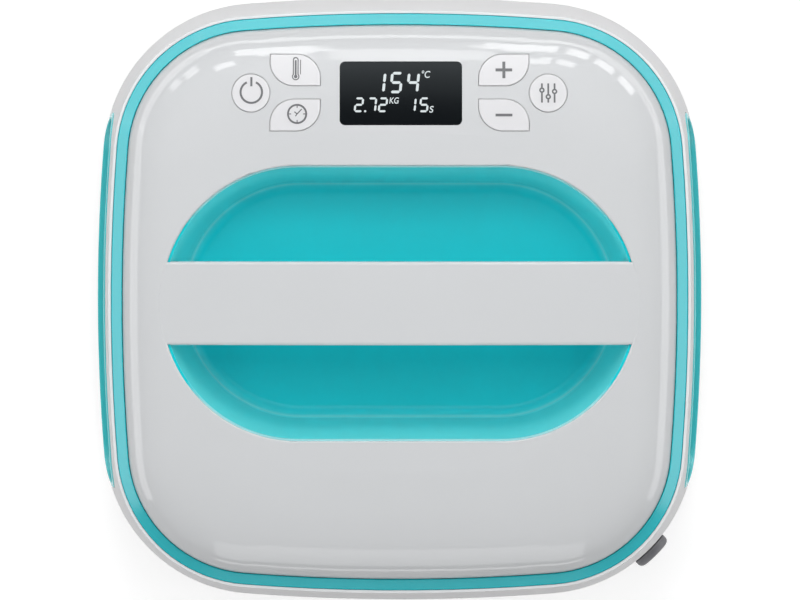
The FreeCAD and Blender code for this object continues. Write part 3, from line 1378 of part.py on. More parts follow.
make_scoop(below_shell)
make_handle_underside(handle_seat)
make_top_shell(shell_outer, shell_inner, shell_middle, handle_seat, make_handle_cap())
make_buttons(dome("button_face", "-button_proud"), below_shell,
             dome("button_back", "shell_wall + fit_gap + button_lip_thickness"))
make_display_lens(dome("lens_face", "lens_sink"), below_shell)

board("display_board", "board_level")
board("power_board", f"{POWER_BOARD_TOP} - board_thickness")
make_keypad()
make_lcd_module()
make_buzzer()
make_relay()
make_transformer()
make_capacitors()
make_heat_sink()
make_terminal_block()

spacer = cylinder("spacer", "spacer_radius", "spacer_length")
spacer_hollow = cylinder("spacer_hollow", "screw_radius + slide_gap", "spacer_length")
spacer_tube = cut("spacer_tube", spacer, spacer_hollow)
spacer_spots = [(x, y, POWER_BOARD_TOP) for x, y in board_spots()]
piece(group("board_spacers", spacer_tube, spacer_spots), "board_spacers")

BOARD_SCREW = make_screw(
    "board_screw", "2 * board_thickness + spacer_length + board_pilot_depth - screw_play")
board_screw_level = f"{POWER_BOARD_TOP} - board_thickness"
rim_screw_spots = all_round(SHELL_BOSS_REACH, "shell_boss_spread")
screw_sets = (
    ("board_screws", BOARD_SCREW, [(x, y, board_screw_level) for x, y in board_spots()]),
    ("shell_screws", LONG_SCREW, [(x, y, LEDGE_LOW) for x, y in rim_screw_spots]),
    ("housing_screws", LONG_SCREW, [(x, y, SHELF_LOW) for x, y in side_boss_spots()]),
    ("handle_screws", LONG_SCREW, handle_screw_seats()),
)
for label, screw, spots in screw_sets:
    piece(group(label, screw, spots), label)

SCOOP_SCREW = make_screw("scoop_screw", "scoop_flange_thickness + scoop_pilot_depth - screw_play / 2")
scoop_screw_spots = [(x, y, "scoop_flange_level") for x, y in scoop_boss_spots()]
piece(group("scoop_screws", SCOOP_SCREW, scoop_screw_spots), "scoop_screws")

plate_screw = make_screw("plate_screw", "pilot_depth - screw_play")
turned = doc.addObject("App::Link", "plate_screw_turned")
turned.LinkedObject = plate_screw
turned.Placement = FreeCAD.Placement(V(), FreeCAD.Rotation(V(1, 0, 0), HALF_TURN))
turned_solid = doc.addObject("Part::Compound", "plate_screw_down")
turned_solid.Links = [turned]
plate_screw_spots = [(x, y, SHELF_TOP) for x, y in all_round(POST_REACH, "post_spread")]
piece(group("plate_screws", turned_solid, plate_screw_spots), "plate_screws")

doc.recompute()
for thing in doc.Objects:
    if "Invalid" in thing.State or "Error" in thing.State:
        raise RuntimeError(f"{thing.Name} failed: {thing.State}")
for node in NODES:
    if node.Shape.isNull() or not node.Shape.isValid():
        raise RuntimeError(f"{node.Label} has no valid shape")

os.makedirs("parts", exist_ok=True)
for node in NODES:
    node.Shape.exportStep(f"parts/{node.Label}.step")
    print(f"{node.Label}: {len(node.Shape.Solids)} solid(s), {node.Shape.Volume / 1000:.1f} cm3")
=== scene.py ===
"""A flat hand-held heat press, dressed for a render: finishes, button marks and the lit display."""
import math

import bpy
from mathutils import Matrix, Vector


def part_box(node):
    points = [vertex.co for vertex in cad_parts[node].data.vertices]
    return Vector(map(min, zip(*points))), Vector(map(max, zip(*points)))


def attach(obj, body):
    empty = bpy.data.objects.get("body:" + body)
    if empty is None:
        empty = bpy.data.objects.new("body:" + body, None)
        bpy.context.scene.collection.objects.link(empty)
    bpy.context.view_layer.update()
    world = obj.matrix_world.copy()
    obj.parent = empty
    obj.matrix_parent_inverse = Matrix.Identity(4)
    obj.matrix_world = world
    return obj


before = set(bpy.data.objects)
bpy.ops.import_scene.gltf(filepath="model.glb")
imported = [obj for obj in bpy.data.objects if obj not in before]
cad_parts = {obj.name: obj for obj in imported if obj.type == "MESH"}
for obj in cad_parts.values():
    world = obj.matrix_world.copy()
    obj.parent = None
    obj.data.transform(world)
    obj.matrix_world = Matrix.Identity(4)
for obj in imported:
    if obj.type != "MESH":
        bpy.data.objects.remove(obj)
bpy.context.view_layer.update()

CAMERA_ACROSS = 0.0002
CAMERA_BACK = 0.060
CAMERA_HEIGHT = 2.400
CAMERA_LENS = 224.2
CAMERA_SENSOR = 36
AIM_HEIGHT = 0.055

TONE_PATCH = 0.060     # how wide the patches are in which a plastic's tone drifts
SHEEN_PATCH = 0.012


# ---------------------------------------------------------------- camera

def stand_camera():
    """The camera stands high over the press, a little behind its middle, with the display at the top."""
    tilt = math.atan2(CAMERA_BACK, CAMERA_HEIGHT - AIM_HEIGHT)
    place = (CAMERA_ACROSS, CAMERA_BACK, CAMERA_HEIGHT)
    bpy.ops.object.camera_add(location=place, rotation=(-tilt, 0, 0))
    camera = bpy.context.object
    camera.name = "overhead_camera"
    camera.data.lens = CAMERA_LENS
    camera.data.sensor_width = CAMERA_SENSOR
    camera.data.clip_start = 0.05
    camera.data.clip_end = 50
    bpy.context.scene.camera = camera


stand_camera()


# ---------------------------------------------------------------- finishes

class Wire:
    """A shader socket that Python's own operators work on."""

    def __init__(self, finish, socket):
        self.finish = finish
        self.socket = socket

    def maths(self, operation, first, second):
        return self.finish.node("ShaderNodeMath", {"operation": operation}, {0: first, 1: second})

    def __add__(self, other):
        return self.maths("ADD", self, other)

    def __radd__(self, other):
        return self.maths("ADD", other, self)

    def __sub__(self, other):
        return self.maths("SUBTRACT", self, other)

    def __rsub__(self, other):
        return self.maths("SUBTRACT", other, self)

    def __mul__(self, other):
        return self.maths("MULTIPLY", self, other)

    def __rmul__(self, other):
        return self.maths("MULTIPLY", other, self)


class Finish:
    """A material made round one Principled shader."""

    def __init__(self, name, **settings):
        self.material = bpy.data.materials.new(name)
        self.material.use_nodes = True
        self.tree = self.material.node_tree
        self.shader = self.tree.nodes["Principled BSDF"]
        self.place = self.node("ShaderNodeTexCoord", {}, {}, "Object")
        self.shine(**settings)

    def connect(self, value, socket):
        if isinstance(value, Wire):
            self.tree.links.new(value.socket, socket)
        elif isinstance(value, tuple) and len(value) == 3 and socket.type == "RGBA":
            socket.default_value = (*value, 1)
        else:
            socket.default_value = value

    def node(self, kind, settings, inputs, output=0):
        """Adds a node: its settings come first, then the values or links of its sockets."""
        made = self.tree.nodes.new(kind)
        for name, value in settings.items():
            if name == "stops":
                ramp = made.color_ramp.elements
                while len(ramp) < len(value):
                    ramp.new(0.5)
                for element, (position, shade) in zip(ramp, value):
                    element.position = position
                    element.color = (*shade, 1) if isinstance(shade, tuple) else (shade, shade, shade, 1)
            else:
                setattr(made, name, value)
        for name, value in inputs.items():
            self.connect(value, made.inputs[name])
        return Wire(self, made.outputs[output])

    def shine(self, **settings):
        for name, value in settings.items():
            self.connect(value, self.shader.inputs[name.replace("_", " ")])

    def noise(self, size, detail=2.0, stretch=None):
        """A soft random pattern from 0 to 1 whose patches are about size metres wide."""
        place = self.place
        if stretch:
            place = self.node("ShaderNodeMapping", {}, {"Vector": place, "Scale": stretch})
        inputs = {"Vector": place, "Scale": 1 / size, "Detail": detail}
        return self.node("ShaderNodeTexNoise", {}, inputs, "Fac")

    def ramp(self, factor, *stops):
        return self.node("ShaderNodeValToRGB", {"stops": stops}, {"Fac": factor})

    def blend(self, factor, first, second, how="MIX"):
        settings = {"data_type": "RGBA", "blend_type": how}
        return self.node("ShaderNodeMix", settings, {0: factor, 6: first, 7: second}, 2)

    def relief(self, height, depth):
        """Raises the surface by up to depth metres where height is 1."""
        inputs = {"Height": height, "Distance": depth, "Strength": 1.0}
        return self.node("ShaderNodeBump", {}, inputs, "Normal")


def colour(code):
    """A colour written as six hexadecimal digits, as the shader's linear numbers."""
    parts = [int(code[i:i + 2], 16) / 255 for i in (0, 2, 4)]
    return tuple(round(p / 12.92 if p <= 0.04045 else ((p + 0.055) / 1.055) ** 2.4, 4) for p in parts)


def moulded(name, base, second, rough, spread=0.05, grain=0.0009, depth=0.000004, **settings):
    """Moulded plastic: a slow drift of tone, a fine mould grain and a sheen that varies a little."""
    finish = Finish(name, **settings)
    drift = finish.noise(TONE_PATCH, 3)
    fine = finish.noise(grain, 2)
    finish.shine(
        Base_Color=finish.blend(drift, colour(base), colour(second)),
        Roughness=rough + spread * (finish.noise(SHEEN_PATCH, 4) - 0.5),
        Normal=finish.relief(fine, depth),
    )
    return finish


def make_finishes():
    """Every finish by the name of the slot it goes into."""
    made = {}
    made["shell_plastic"] = moulded(
        "gloss_shell_plastic", "D4D6D8", "D1D3D5", rough=0.06, spread=0.02, grain=0.0016, depth=0.0000004,
        IOR=1.50)
    made["housing_plastic"] = moulded(
        "satin_skirt_plastic", "EDEDEE", "E9E9EB", rough=0.58, spread=0.06, grain=0.0008, depth=0.000006)
    made["trim_plastic"] = moulded(
        "aqua_trim_plastic", "20C0CA", "1BBBC5", rough=0.20, spread=0.05, grain=0.0009, depth=0.000003,
        IOR=1.55)
    made["scoop_plastic"] = scoop_lining()
    made["grip_plastic"] = moulded(
        "turquoise_grip_plastic", "52D6DA", "4AD0D6", rough=0.20, spread=0.06, grain=0.0006, depth=0.000006)
    made["button_plastic"] = moulded(
        "pale_button_plastic", "E0E0E2", "DCDCDF", rough=0.33, spread=0.05, grain=0.0006, depth=0.000004)
    made["lens_plastic"] = moulded(
        "smoked_lens_plastic", "0B0E11", "0E1215", rough=0.08, spread=0.02, grain=0.004, depth=0.0000004,
        IOR=1.60, Specular_Tint=(0.86, 0.95, 1.0))
    made["gland_plastic"] = moulded(
        "grey_gland_plastic", "76767A", "6A6A6E", rough=0.48, spread=0.1, grain=0.0005, depth=0.00001)
    made["bumper_rubber"] = moulded(
        "grey_bumper_rubber", "B9B9BC", "B1B1B4", rough=0.6, spread=0.1, grain=0.0006, depth=0.00002)
    made["frame_plastic"] = moulded(
        "heat_proof_frame_plastic", "2B2C2F", "242528", rough=0.5, spread=0.1, grain=0.0008, depth=0.00002)
    made["part_plastic"] = moulded("black_part_plastic", "222326", "1B1C1F", rough=0.45)
    made["relay_plastic"] = moulded("blue_relay_plastic", "2B5FA8", "27589F", rough=0.4)
    made["terminal_plastic"] = moulded("green_terminal_plastic", "3F8F4F", "398547", rough=0.45)
    made["keypad_rubber"] = moulded(
        "milky_keypad_rubber", "C9CBC9", "BEC1BF", rough=0.65, spread=0.1, grain=0.0006, depth=0.00002)
    made["plate_metal"] = coated_plate()
    made["heater_steel"] = worked_metal(
        "sheathed_heater_steel", "8C8984", "77736D", rough=0.38, stretch=(1, 1, 0.2))
    made["sheet_steel"] = worked_metal(
        "rolled_sheet_steel", "B9BBBD", "A9ABAE", rough=0.34, stretch=(1, 0.04, 1))
    made["cell_metal"] = worked_metal(
        "milled_cell_metal", "C4C6C9", "B4B6BA", rough=0.3, stretch=(0.05, 1, 1))
    made["core_iron"] = worked_metal(
        "stacked_core_iron", "6F7174", "5C5E61", rough=0.5, stretch=(0.02, 1, 1))
    made["can_metal"] = worked_metal(
        "drawn_can_metal", "5E6A86", "545F7A", rough=0.35, stretch=(1, 1, 0.1))
    made["sink_metal"] = worked_metal(
        "extruded_sink_metal", "C2C4C7", "B2B4B8", rough=0.36, stretch=(1, 1, 0.03))
    made["spacer_brass"] = worked_metal(
        "turned_brass", "C9A24E", "B98F3C", rough=0.3, stretch=(1, 1, 0.1))
    made["screw_steel"] = worked_metal(
        "plated_screw_steel", "B8BBBE", "A5A8AC", rough=0.3, stretch=(1, 1, 1))
    made["ceramic"] = moulded(
        "fired_ceramic", "E9E2D2", "DED5C2", rough=0.55, spread=0.12, grain=0.0007, depth=0.00002)
    made["fibre"] = fibre_pad()
    made["board_laminate"] = board_laminate()
    made["lcd_panel"] = moulded("lcd_panel_glass", "1A1D20", "15181B", rough=0.12)
    return made


def scoop_lining():
    """The hollow's turquoise, glossier on the walls, with painted light: the walls are a paler copy of the
    floor's colour, and painted highlights run along their foot and lip.
    """
    finish = Finish("turquoise_scoop_plastic", IOR=1.42)
    facing = finish.node("ShaderNodeTexCoord", {}, {}, "Normal")
    level = finish.node("ShaderNodeSeparateXYZ", {}, {"Vector": facing}, "Z")
    height = finish.node("ShaderNodeSeparateXYZ", {}, {"Vector": finish.place}, "Z")
    lip_depth = 0.002
    lip_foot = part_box("handle_scoop")[1].z - lip_depth
    upright = finish.ramp(level, (0.35, 1.0), (0.97, 0.0))
    # painted highlight: a pale band at the foot of the walls, where the fillet catches the light
    foot = finish.ramp(level, (0.30, 0.0), (0.52, 1.0), (0.74, 0.0))
    # painted highlight: a pale line along the top 2 mm of the hollow's lip, where its edge catches the
    # light
    lip = finish.ramp((height - lip_foot) * (1 / lip_depth), (0.2, 0.0), (0.7, 1.0))
    drift = finish.noise(TONE_PATCH, 3)
    floor = finish.blend(drift, colour("05E1EB"), colour("03DBE5"))
    # painted light: the walls are a paler copy of the floor's turquoise, standing in for the light that
    # falls on them
    wall = finish.blend(drift, colour("7CF6F9"), colour("74F2F5"))
    body = finish.blend(upright, floor, wall)
    with_foot_highlight = finish.blend(foot * 0.45, body, colour("C4F6F8"))
    finish.shine(
        Base_Color=finish.blend(lip * 0.8, with_foot_highlight, colour("BFEFF1")),
        Roughness=0.36 - 0.12 * upright + 0.06 * (finish.noise(SHEEN_PATCH, 4) - 0.5),
        Normal=finish.relief(finish.noise(0.0009, 2), 0.000004),
    )
    return finish


def worked_metal(name, base, second, rough, stretch):
    """Bare metal with fine lines left by rolling, turning or milling."""
    finish = Finish(name, Metallic=1.0)
    lines = finish.noise(0.0006, 3, stretch)
    stain = finish.noise(0.030, 4)
    finish.shine(
        Base_Color=finish.blend(stain, colour(base), colour(second)),
        Roughness=rough - 0.08 + 0.16 * lines,
        Normal=finish.relief(lines, 0.000006),
    )
    return finish


def coated_plate():
    """The pressing plate: cast metal under a dark non-stick coat with fine pale flecks."""
    finish = Finish("non_stick_plate_coat", IOR=1.5)
    cells = finish.node(
        "ShaderNodeTexVoronoi", {"feature": "F1"}, {"Vector": finish.place, "Scale": 900.0}, "Distance")
    flecks = finish.ramp(cells, (0.0, 1.0), (0.16, 0.6), (0.22, 0.0))
    cloud = finish.noise(0.040, 4)
    skin = finish.noise(0.0011, 3)
    ground = finish.blend(cloud, colour("35373B"), colour("2B2D31"))
    finish.shine(
        Base_Color=finish.blend(flecks * 0.5, ground, colour("9A9DA1")),
        Roughness=0.34 + 0.12 * cloud,
        Metallic=flecks * 0.4,
        Normal=finish.relief(skin, 0.000012),
    )
    return finish


def fibre_pad():
    """Needled ceramic fibre: matt, off-white, with loose strands."""
    finish = Finish("needled_fibre", Roughness=0.95)
    strands = finish.noise(0.0016, 6, (1, 0.25, 1))
    cross = finish.noise(0.0021, 6, (0.3, 1, 1))
    height = 0.5 * strands + 0.5 * cross
    finish.shine(
        Base_Color=finish.blend(height, colour("CFC9BC"), colour("EDE9DF")),
        Normal=finish.relief(height, 0.0004),
    )
    return finish


def board_laminate():
    """Green solder mask over copper tracks."""
    finish = Finish("green_board_laminate", IOR=1.5)
    tracks = finish.node(
        "ShaderNodeTexBrick", {"offset": 0.37, "squash": 1.7, "squash_frequency": 3},
        {"Vector": finish.place, "Scale": 170.0, "Mortar Size": 0.03, "Mortar Smooth": 0.3}, "Fac")
    weave = finish.noise(0.0008, 2)
    finish.shine(
        Base_Color=finish.blend(tracks, colour("17613A"), colour("2E8A52")),
        Roughness=0.32 + 0.1 * weave,
        Normal=finish.relief(tracks, 0.00003),
    )
    return finish


def printed_ink():
    """The grey of the button marks, rubbed a little lighter in places."""
    finish = Finish("grey_mark_ink", IOR=1.48)
    rub = finish.noise(0.003, 5)
    finish.shine(
        Base_Color=finish.blend(rub, colour("66676A"), colour("717275")),
        Roughness=0.46 + 0.1 * rub,
        Normal=finish.relief(finish.noise(0.0004, 2), 0.000004),
    )
    return finish


def lit_segment():
    """A lit display segment, its glow a little brighter in some patches than in others."""
    finish = Finish("lit_segment", Roughness=0.5)
    glow = finish.noise(0.0022, 3)
    tone = finish.blend(glow, colour("DCE9EC"), colour("F2F8FA"))
    finish.shine(Base_Color=(0.02, 0.02, 0.02), Emission_Color=tone, Emission_Strength=0.86)
    return finish


def dress_nodes(finishes):
    """Gives every CAD node the finish of its slot."""
    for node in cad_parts.values():
        for place in node.material_slots:
            place.material = finishes[place.material.name.split(".")[0]].material


FINISHES = make_finishes()
dress_nodes(FINISHES)
INK = printed_ink()
LIT = lit_segment()


# ---------------------------------------------------------------- modelling helpers

DROP_HEIGHT = 0.140    # above every part of the press
TIP_SHARE = 0.12       # how much of a bar's width its tip keeps
CLOSE = 1e-7


def pick(piece):
    """Selects this piece alone and makes it the active one."""
    bpy.ops.object.select_all(action="DESELECT")
    piece.select_set(True)
    bpy.context.view_layer.objects.active = piece


def settle(piece):
    """Leaves the piece at the origin, unturned and unscaled, with its place in its mesh."""
    pick(piece)
    bpy.ops.object.transform_apply(location=True, rotation=True, scale=True)


def join(name, parts):
    pick(parts[0])
    for part in parts[1:]:
        part.select_set(True)
    if len(parts) > 1:
        bpy.ops.object.join()
    piece = bpy.context.object
    piece.name = name
    piece.data.name = name
    return piece


def twin(piece):
    """A copy of the piece, with its own mesh."""
    copied = piece.copy()
    copied.data = piece.data.copy()
    bpy.context.scene.collection.objects.link(copied)
    return copied


def drop_faces(piece, unwanted):
    """Deletes the faces whose centre the test picks."""
    pick(piece)
    bpy.ops.object.mode_set(mode="EDIT")
    bpy.ops.mesh.select_mode(type="FACE")
    bpy.ops.mesh.select_all(action="DESELECT")
    bpy.ops.object.mode_set(mode="OBJECT")
    for face in piece.data.polygons:
        face.select = unwanted(face.center)
    bpy.ops.object.mode_set(mode="EDIT")
    bpy.ops.mesh.delete(type="FACE")
    bpy.ops.object.mode_set(mode="OBJECT")


def bar(centre, length, width, turn=0.0, point=0.0, cuts=5):
    """A flat bar that can follow a curved face; point narrows both ends to a tip that long."""
    bpy.ops.mesh.primitive_plane_add(size=1, location=(0, 0, 0))
    piece = bpy.context.object
    piece.data.transform(Matrix.Diagonal((length - 2 * point, width, 1, 1)))
    bpy.ops.object.mode_set(mode="EDIT")
    bpy.ops.mesh.subdivide(number_cuts=cuts)
    bpy.ops.object.mode_set(mode="OBJECT")
    if point:
        for side in (-1, 1):
            add_tip(piece, side, length / 2 - point, point)
    piece.data.transform(Matrix.Translation((*centre, 0)) @ Matrix.Rotation(turn, 4, "Z"))
    return piece


def add_tip(piece, side, reach, point):
    """Extrudes one short end of a flat bar and draws it in to a blunt tip."""
    pick(piece)
    bpy.ops.object.mode_set(mode="EDIT")
    bpy.ops.mesh.select_mode(type="EDGE")
    bpy.ops.mesh.select_all(action="DESELECT")
    bpy.ops.object.mode_set(mode="OBJECT")
    points = piece.data.vertices
    for edge in piece.data.edges:
        edge.select = all(abs(points[i].co.x - side * reach) < CLOSE for i in edge.vertices)
    bpy.ops.object.mode_set(mode="EDIT")
    bpy.ops.mesh.extrude_region_move(TRANSFORM_OT_translate={"value": (side * point, 0, 0)})
    bpy.ops.transform.resize(value=(1, TIP_SHARE, 1))
    bpy.ops.object.mode_set(mode="OBJECT")


def ring(centre, radius, stroke, steps=72, gap=0.0):
    """A flat ring; gap leaves it open at its top by that half angle."""
    bpy.ops.mesh.primitive_circle_add(vertices=steps, radius=radius, fill_type="NGON", location=(0, 0, 0))
    piece = bpy.context.object
    bpy.ops.object.mode_set(mode="EDIT")
    bpy.ops.mesh.select_all(action="SELECT")
    bpy.ops.mesh.inset(thickness=stroke)
    bpy.ops.mesh.delete(type="FACE")
    bpy.ops.object.mode_set(mode="OBJECT")
    if gap:
        drop_faces(piece, lambda p: abs(math.atan2(p.x, p.y)) < gap)
    piece.data.transform(Matrix.Translation((*centre, 0)))
    return piece


def disc(centre, radius, steps=32):
    """A flat disc of rings, fine enough to follow a curved face."""
    bpy.ops.mesh.primitive_circle_add(vertices=steps, radius=radius, fill_type="NGON", location=(0, 0, 0))
    piece = bpy.context.object
    bpy.ops.object.mode_set(mode="EDIT")
    bpy.ops.mesh.select_all(action="SELECT")
    bpy.ops.mesh.inset(thickness=radius * 0.5)
    bpy.ops.mesh.poke()
    bpy.ops.object.mode_set(mode="OBJECT")
    piece.data.transform(Matrix.Translation((*centre, 0)))
    return piece


def lay_on(piece, node, thickness, sink):
    """Drops a flat piece on a node's top face, sunk in a little, and gives it a thickness above it."""
    piece.data.transform(Matrix.Translation((0, 0, DROP_HEIGHT)))
    pick(piece)
    wrap = piece.modifiers.new("fall", "SHRINKWRAP")
    wrap.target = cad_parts[node]
    wrap.wrap_method = "PROJECT"
    wrap.use_project_z = True
    wrap.use_negative_direction = True
    wrap.use_positive_direction = False
    bpy.ops.object.modifier_apply(modifier="fall")
    piece.data.transform(Matrix.Translation((0, 0, -sink)))
    if sum(face.normal.z for face in piece.data.polygons) < 0:
        piece.data.flip_normals()
    wall = piece.modifiers.new("wall", "SOLIDIFY")
    wall.thickness = thickness + sink
    wall.offset = 1
    bpy.ops.object.modifier_apply(modifier="wall")


# ---------------------------------------------------------------- button marks

INK_THICKNESS = 0.00010
INK_SINK = 0.00002
UPRIGHT = math.pi / 2


def button_centre(name, right=0.0, up=0.0):
    """The middle of a button seen from above, or a spot that far to its right and towards the rear."""
    low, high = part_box(name)
    return ((low.x + high.x) / 2 + right, (low.y + high.y) / 2 + up)


def spot_towards(centre, angle, reach):
    return (centre[0] + reach * math.cos(angle), centre[1] + reach * math.sin(angle))


def make_thin_piece(name, parts, node, finish, thickness, sink):
    """Joins flat parts into one thin piece on a node's top face."""
    piece = join(name, parts)
    lay_on(piece, node, thickness, sink)
    piece.data.materials.clear()
    piece.data.materials.append(finish.material)
    return piece


def print_mark(name, parts, node):
    """Prints a mark on a button, with which it then moves."""
    mark = make_thin_piece(name, parts, node, INK, INK_THICKNESS, INK_SINK)
    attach(mark, node)


def make_power_mark():
    """A ring that is open at its top, with a bar standing in the gap."""
    x, y = button_centre("power_button", 0.0002, 0.0004)
    radius, stroke, half_opening = 0.0054, 0.00095, 0.42
    parts = [ring((x, y), radius, stroke, gap=half_opening)]
    parts.append(bar((x, y + 0.0048), 0.0042, stroke, UPRIGHT))
    print_mark("power_mark", parts, "power_button")


def make_plus_mark():
    """One whole arm and two half arms, so that no faces lie on each other."""
    x, y = button_centre("plus_button")
    arm, stroke = 0.0076, 0.00135
    half = (arm - stroke) / 2
    parts = [bar((x, y), arm, stroke, cuts=9)]
    for side in (-1, 1):
        parts.append(bar((x, y + side * (half + stroke) / 2), half, stroke, UPRIGHT))
    print_mark("plus_mark", parts, "plus_button")


def make_minus_mark():
    arm, stroke = 0.0077, 0.00120
    print_mark("minus_mark", [bar(button_centre("minus_button"), arm, stroke, cuts=9)], "minus_button")


def make_timer_mark():
    """A clock face: rim, four ticks and three hands."""
    centre = button_centre("timer_button", 0.0009, 0.0005)
    radius, rim = 0.0046, 0.00085
    tick_reach, tick, tick_width = 0.0034, 0.0013, 0.00045
    hand_width = 0.00050
    parts = [ring(centre, radius, rim)]
    for turn in range(4):
        angle = turn * math.pi / 2
        parts.append(bar(spot_towards(centre, angle, tick_reach), tick, tick_width, angle, cuts=2))
    for angle, length in ((0.82, 0.0031), (2.45, 0.0016), (4.05, 0.0013)):
        parts.append(bar(spot_towards(centre, angle, length / 2), length, hand_width, angle, cuts=3))
    print_mark("timer_mark", parts, "timer_button")


def make_temperature_mark():
    """A thermometer: a rounded tube with a bulb, a thread of mercury and a scale line."""
    x, y = button_centre("temperature_button", 0.0002)
    tube_radius, bulb_radius, wall = 0.00132, 0.00172, 0.00050
    top, bottom = y + 0.0046, y - 0.0019
    parts = [bar((x + side * (tube_radius - wall / 2), (top + bottom) / 2), top - bottom, wall, UPRIGHT)
             for side in (-1, 1)]
    cap = ring((0, 0), tube_radius, wall, 32)
    drop_faces(cap, lambda p: p.y < 0)
    cap.data.transform(Matrix.Translation((x, top, 0)))
    open_angle = math.asin((tube_radius - wall / 2) / bulb_radius)
    bulb_y = bottom - math.cos(open_angle) * (bulb_radius - wall / 2)
    bulb = ring((x, bulb_y), bulb_radius, wall, 40, gap=open_angle)
    drop = disc((x, bulb_y), 0.00080, 20)
    thread = bar((x, (top + bulb_y) / 2), top - bulb_y - 0.0003, 0.00080, UPRIGHT)
    scale = bar((x + 0.0022, y + 0.0013), 0.0067, 0.00038, UPRIGHT)
    print_mark("temperature_mark", parts + [cap, bulb, drop, thread, scale], "temperature_button")


def make_mode_mark():
    """Three sliders, each a line with a knob at a different height."""
    x, y = button_centre("mode_button")
    spacing, reach, line = 0.0029, 0.0044, 0.0008
    knob_radius, knob_stroke = 0.00125, 0.00072
    parts = []
    for across, knob in ((-spacing, 0.0013), (0.0, -0.0017), (spacing, 0.0007)):
        parts.append(ring((x + across, y + knob), knob_radius, knob_stroke, 32))
        for low, high in ((-reach, knob - knob_radius), (knob + knob_radius, reach)):
            parts.append(bar((x + across, y + (low + high) / 2), high - low, line, UPRIGHT))
    print_mark("mode_mark", parts, "mode_button")


make_power_mark()
make_temperature_mark()
make_timer_mark()
make_plus_mark()
make_minus_mark()
make_mode_mark()


# ---------------------------------------------------------------- display

SEGMENTS = {"1": "bc", "2": "abged", "4": "fgbc", "5": "afgcd", "7": "abc"}
LEAN = 0.10
SEGMENT_GAP = 0.16      # in strokes
SEGMENT_POINT = 0.42    # in strokes
LARGE = (0.0098, 0.0056, 0.00122)    # a figure's height, width and stroke
SMALL = (0.0068, 0.0042, 0.00092)
DOT_RADIUS = 0.55       # in strokes
GLOW_THICKNESS = 0.00003
GLOW_SINK = 0.00001


def segment_bars(height, width, stroke):
    """The seven bars of one upright figure whose middle is the origin, by their letters."""
    gap = stroke * SEGMENT_GAP
    rise = height / 2 - stroke / 2
    across = width / 2 - stroke / 2
    flat = width - stroke - 2 * gap
    tall = rise - 2 * gap
    spots = {
        "a": ((0, rise), flat, 0.0), "g": ((0, 0), flat, 0.0), "d": ((0, -rise), flat, 0.0),
        "f": ((-across, rise / 2), tall, UPRIGHT), "b": ((across, rise / 2), tall, UPRIGHT),
        "e": ((-across, -rise / 2), tall, UPRIGHT), "c": ((across, -rise / 2), tall, UPRIGHT),
    }
    return {letter: bar(spot, length, stroke, turn, point=stroke * SEGMENT_POINT, cuts=2)
            for letter, (spot, length, turn) in spots.items()}


def figures(text, left, middle, height, width, stroke, pitch):
    """A row of seven-bar figures that lean to the right; left is the first figure's left edge."""
    lean = Matrix.Identity(4)
    lean[0][1] = LEAN
    model = segment_bars(height, width, stroke)
    made = []
    place = left + width / 2
    for sign in text:
        if sign == ".":
            corner = (place - pitch + width / 2 + stroke * 0.8, middle - height / 2 + stroke * 0.5)
            made.append(disc(corner, stroke * DOT_RADIUS, 16))
            continue
        for letter in SEGMENTS[sign]:
            copied = twin(model[letter])
            copied.data.transform(Matrix.Translation((place, middle, 0)) @ lean)
            made.append(copied)
        place += pitch
    for part in model.values():
        bpy.data.objects.remove(part)
    return made


def unit(text, left, base, size, narrow=1.0):
    """Small lettering beside a figure, as flat faces, narrowed where it stands tight."""
    bpy.ops.object.text_add(location=(0, 0, 0))
    words = bpy.context.object
    words.data.body = text
    words.data.size = size
    words.data.shear = 0.18
    words.data.resolution_u = 6
    words.data.offset = 0.010 * size
    bpy.ops.object.convert(target="MESH")
    words = bpy.context.object
    words.data.transform(Matrix.Translation((left, base, 0)) @ Matrix.Diagonal((narrow, 1, 1, 1)))
    return words


def make_display():
    """A temperature above a force and a time, each with its unit."""
    low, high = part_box("display_lens")
    x, y = (low.x + high.x) / 2, (low.y + high.y) / 2
    lower = y - 0.0053
    parts = figures("154", x - 0.0126, y + 0.0049, *LARGE, 0.0077)
    parts += figures("2.", x - 0.0213, lower, *SMALL, 0.0050)
    parts += figures("72", x - 0.0153, lower, *SMALL, 0.0050)
    parts += figures("15", x + 0.0028, lower, *SMALL, 0.0057)
    parts.append(unit("°C", x + 0.0090, y + 0.0071, 0.0045, 0.85))
    parts.append(unit("KG", x - 0.0055, y - 0.0047, 0.0040, 0.80))
    parts.append(unit("S", x + 0.0128, y - 0.0088, 0.0042))
    display = make_thin_piece("display_figures", parts, "display_lens", LIT, GLOW_THICKNESS, GLOW_SINK)
    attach(display, "press")


make_display()


# ---------------------------------------------------------------- room and lamps

FLOOR_GAP = 0.0002         # keeps the floor's face off the press's feet
LAMP_AIM = 0.09
FILL_DISTANCE = 1.8
WINDOW_DISTANCE = 2.2


def background_rays(finish):
    """1 for the rays that show the background, straight, mirrored or through glass."""
    kinds = [finish.node("ShaderNodeLightPath", {}, {}, f"Is {kind} Ray")
             for kind in ("Camera", "Glossy", "Transmission")]
    return finish.node("ShaderNodeClamp", {}, {"Value": kinds[0] + kinds[1] + kinds[2]})


def grey(level):
    return (level, level, level)


def make_floor():
    """A floor that shows white where it is lit, keeps the shadow and throws little light back up."""
    bpy.ops.mesh.primitive_plane_add(size=8, location=(0, 0, -FLOOR_GAP))
    floor = bpy.context.object
    floor.name = "pale_floor"
    settle(floor)
    finish = Finish("pale_floor_paint", Roughness=0.9)
    seen = background_rays(finish)
    paint = finish.blend(finish.noise(0.5, 2), grey(0.60), grey(0.61))
    finish.shine(
        Base_Color=finish.blend(seen, grey(0.36), paint),
        Emission_Color=finish.blend(seen, grey(0.0), grey(0.60)),
        Emission_Strength=1.0,
    )
    floor.data.materials.append(finish.material)


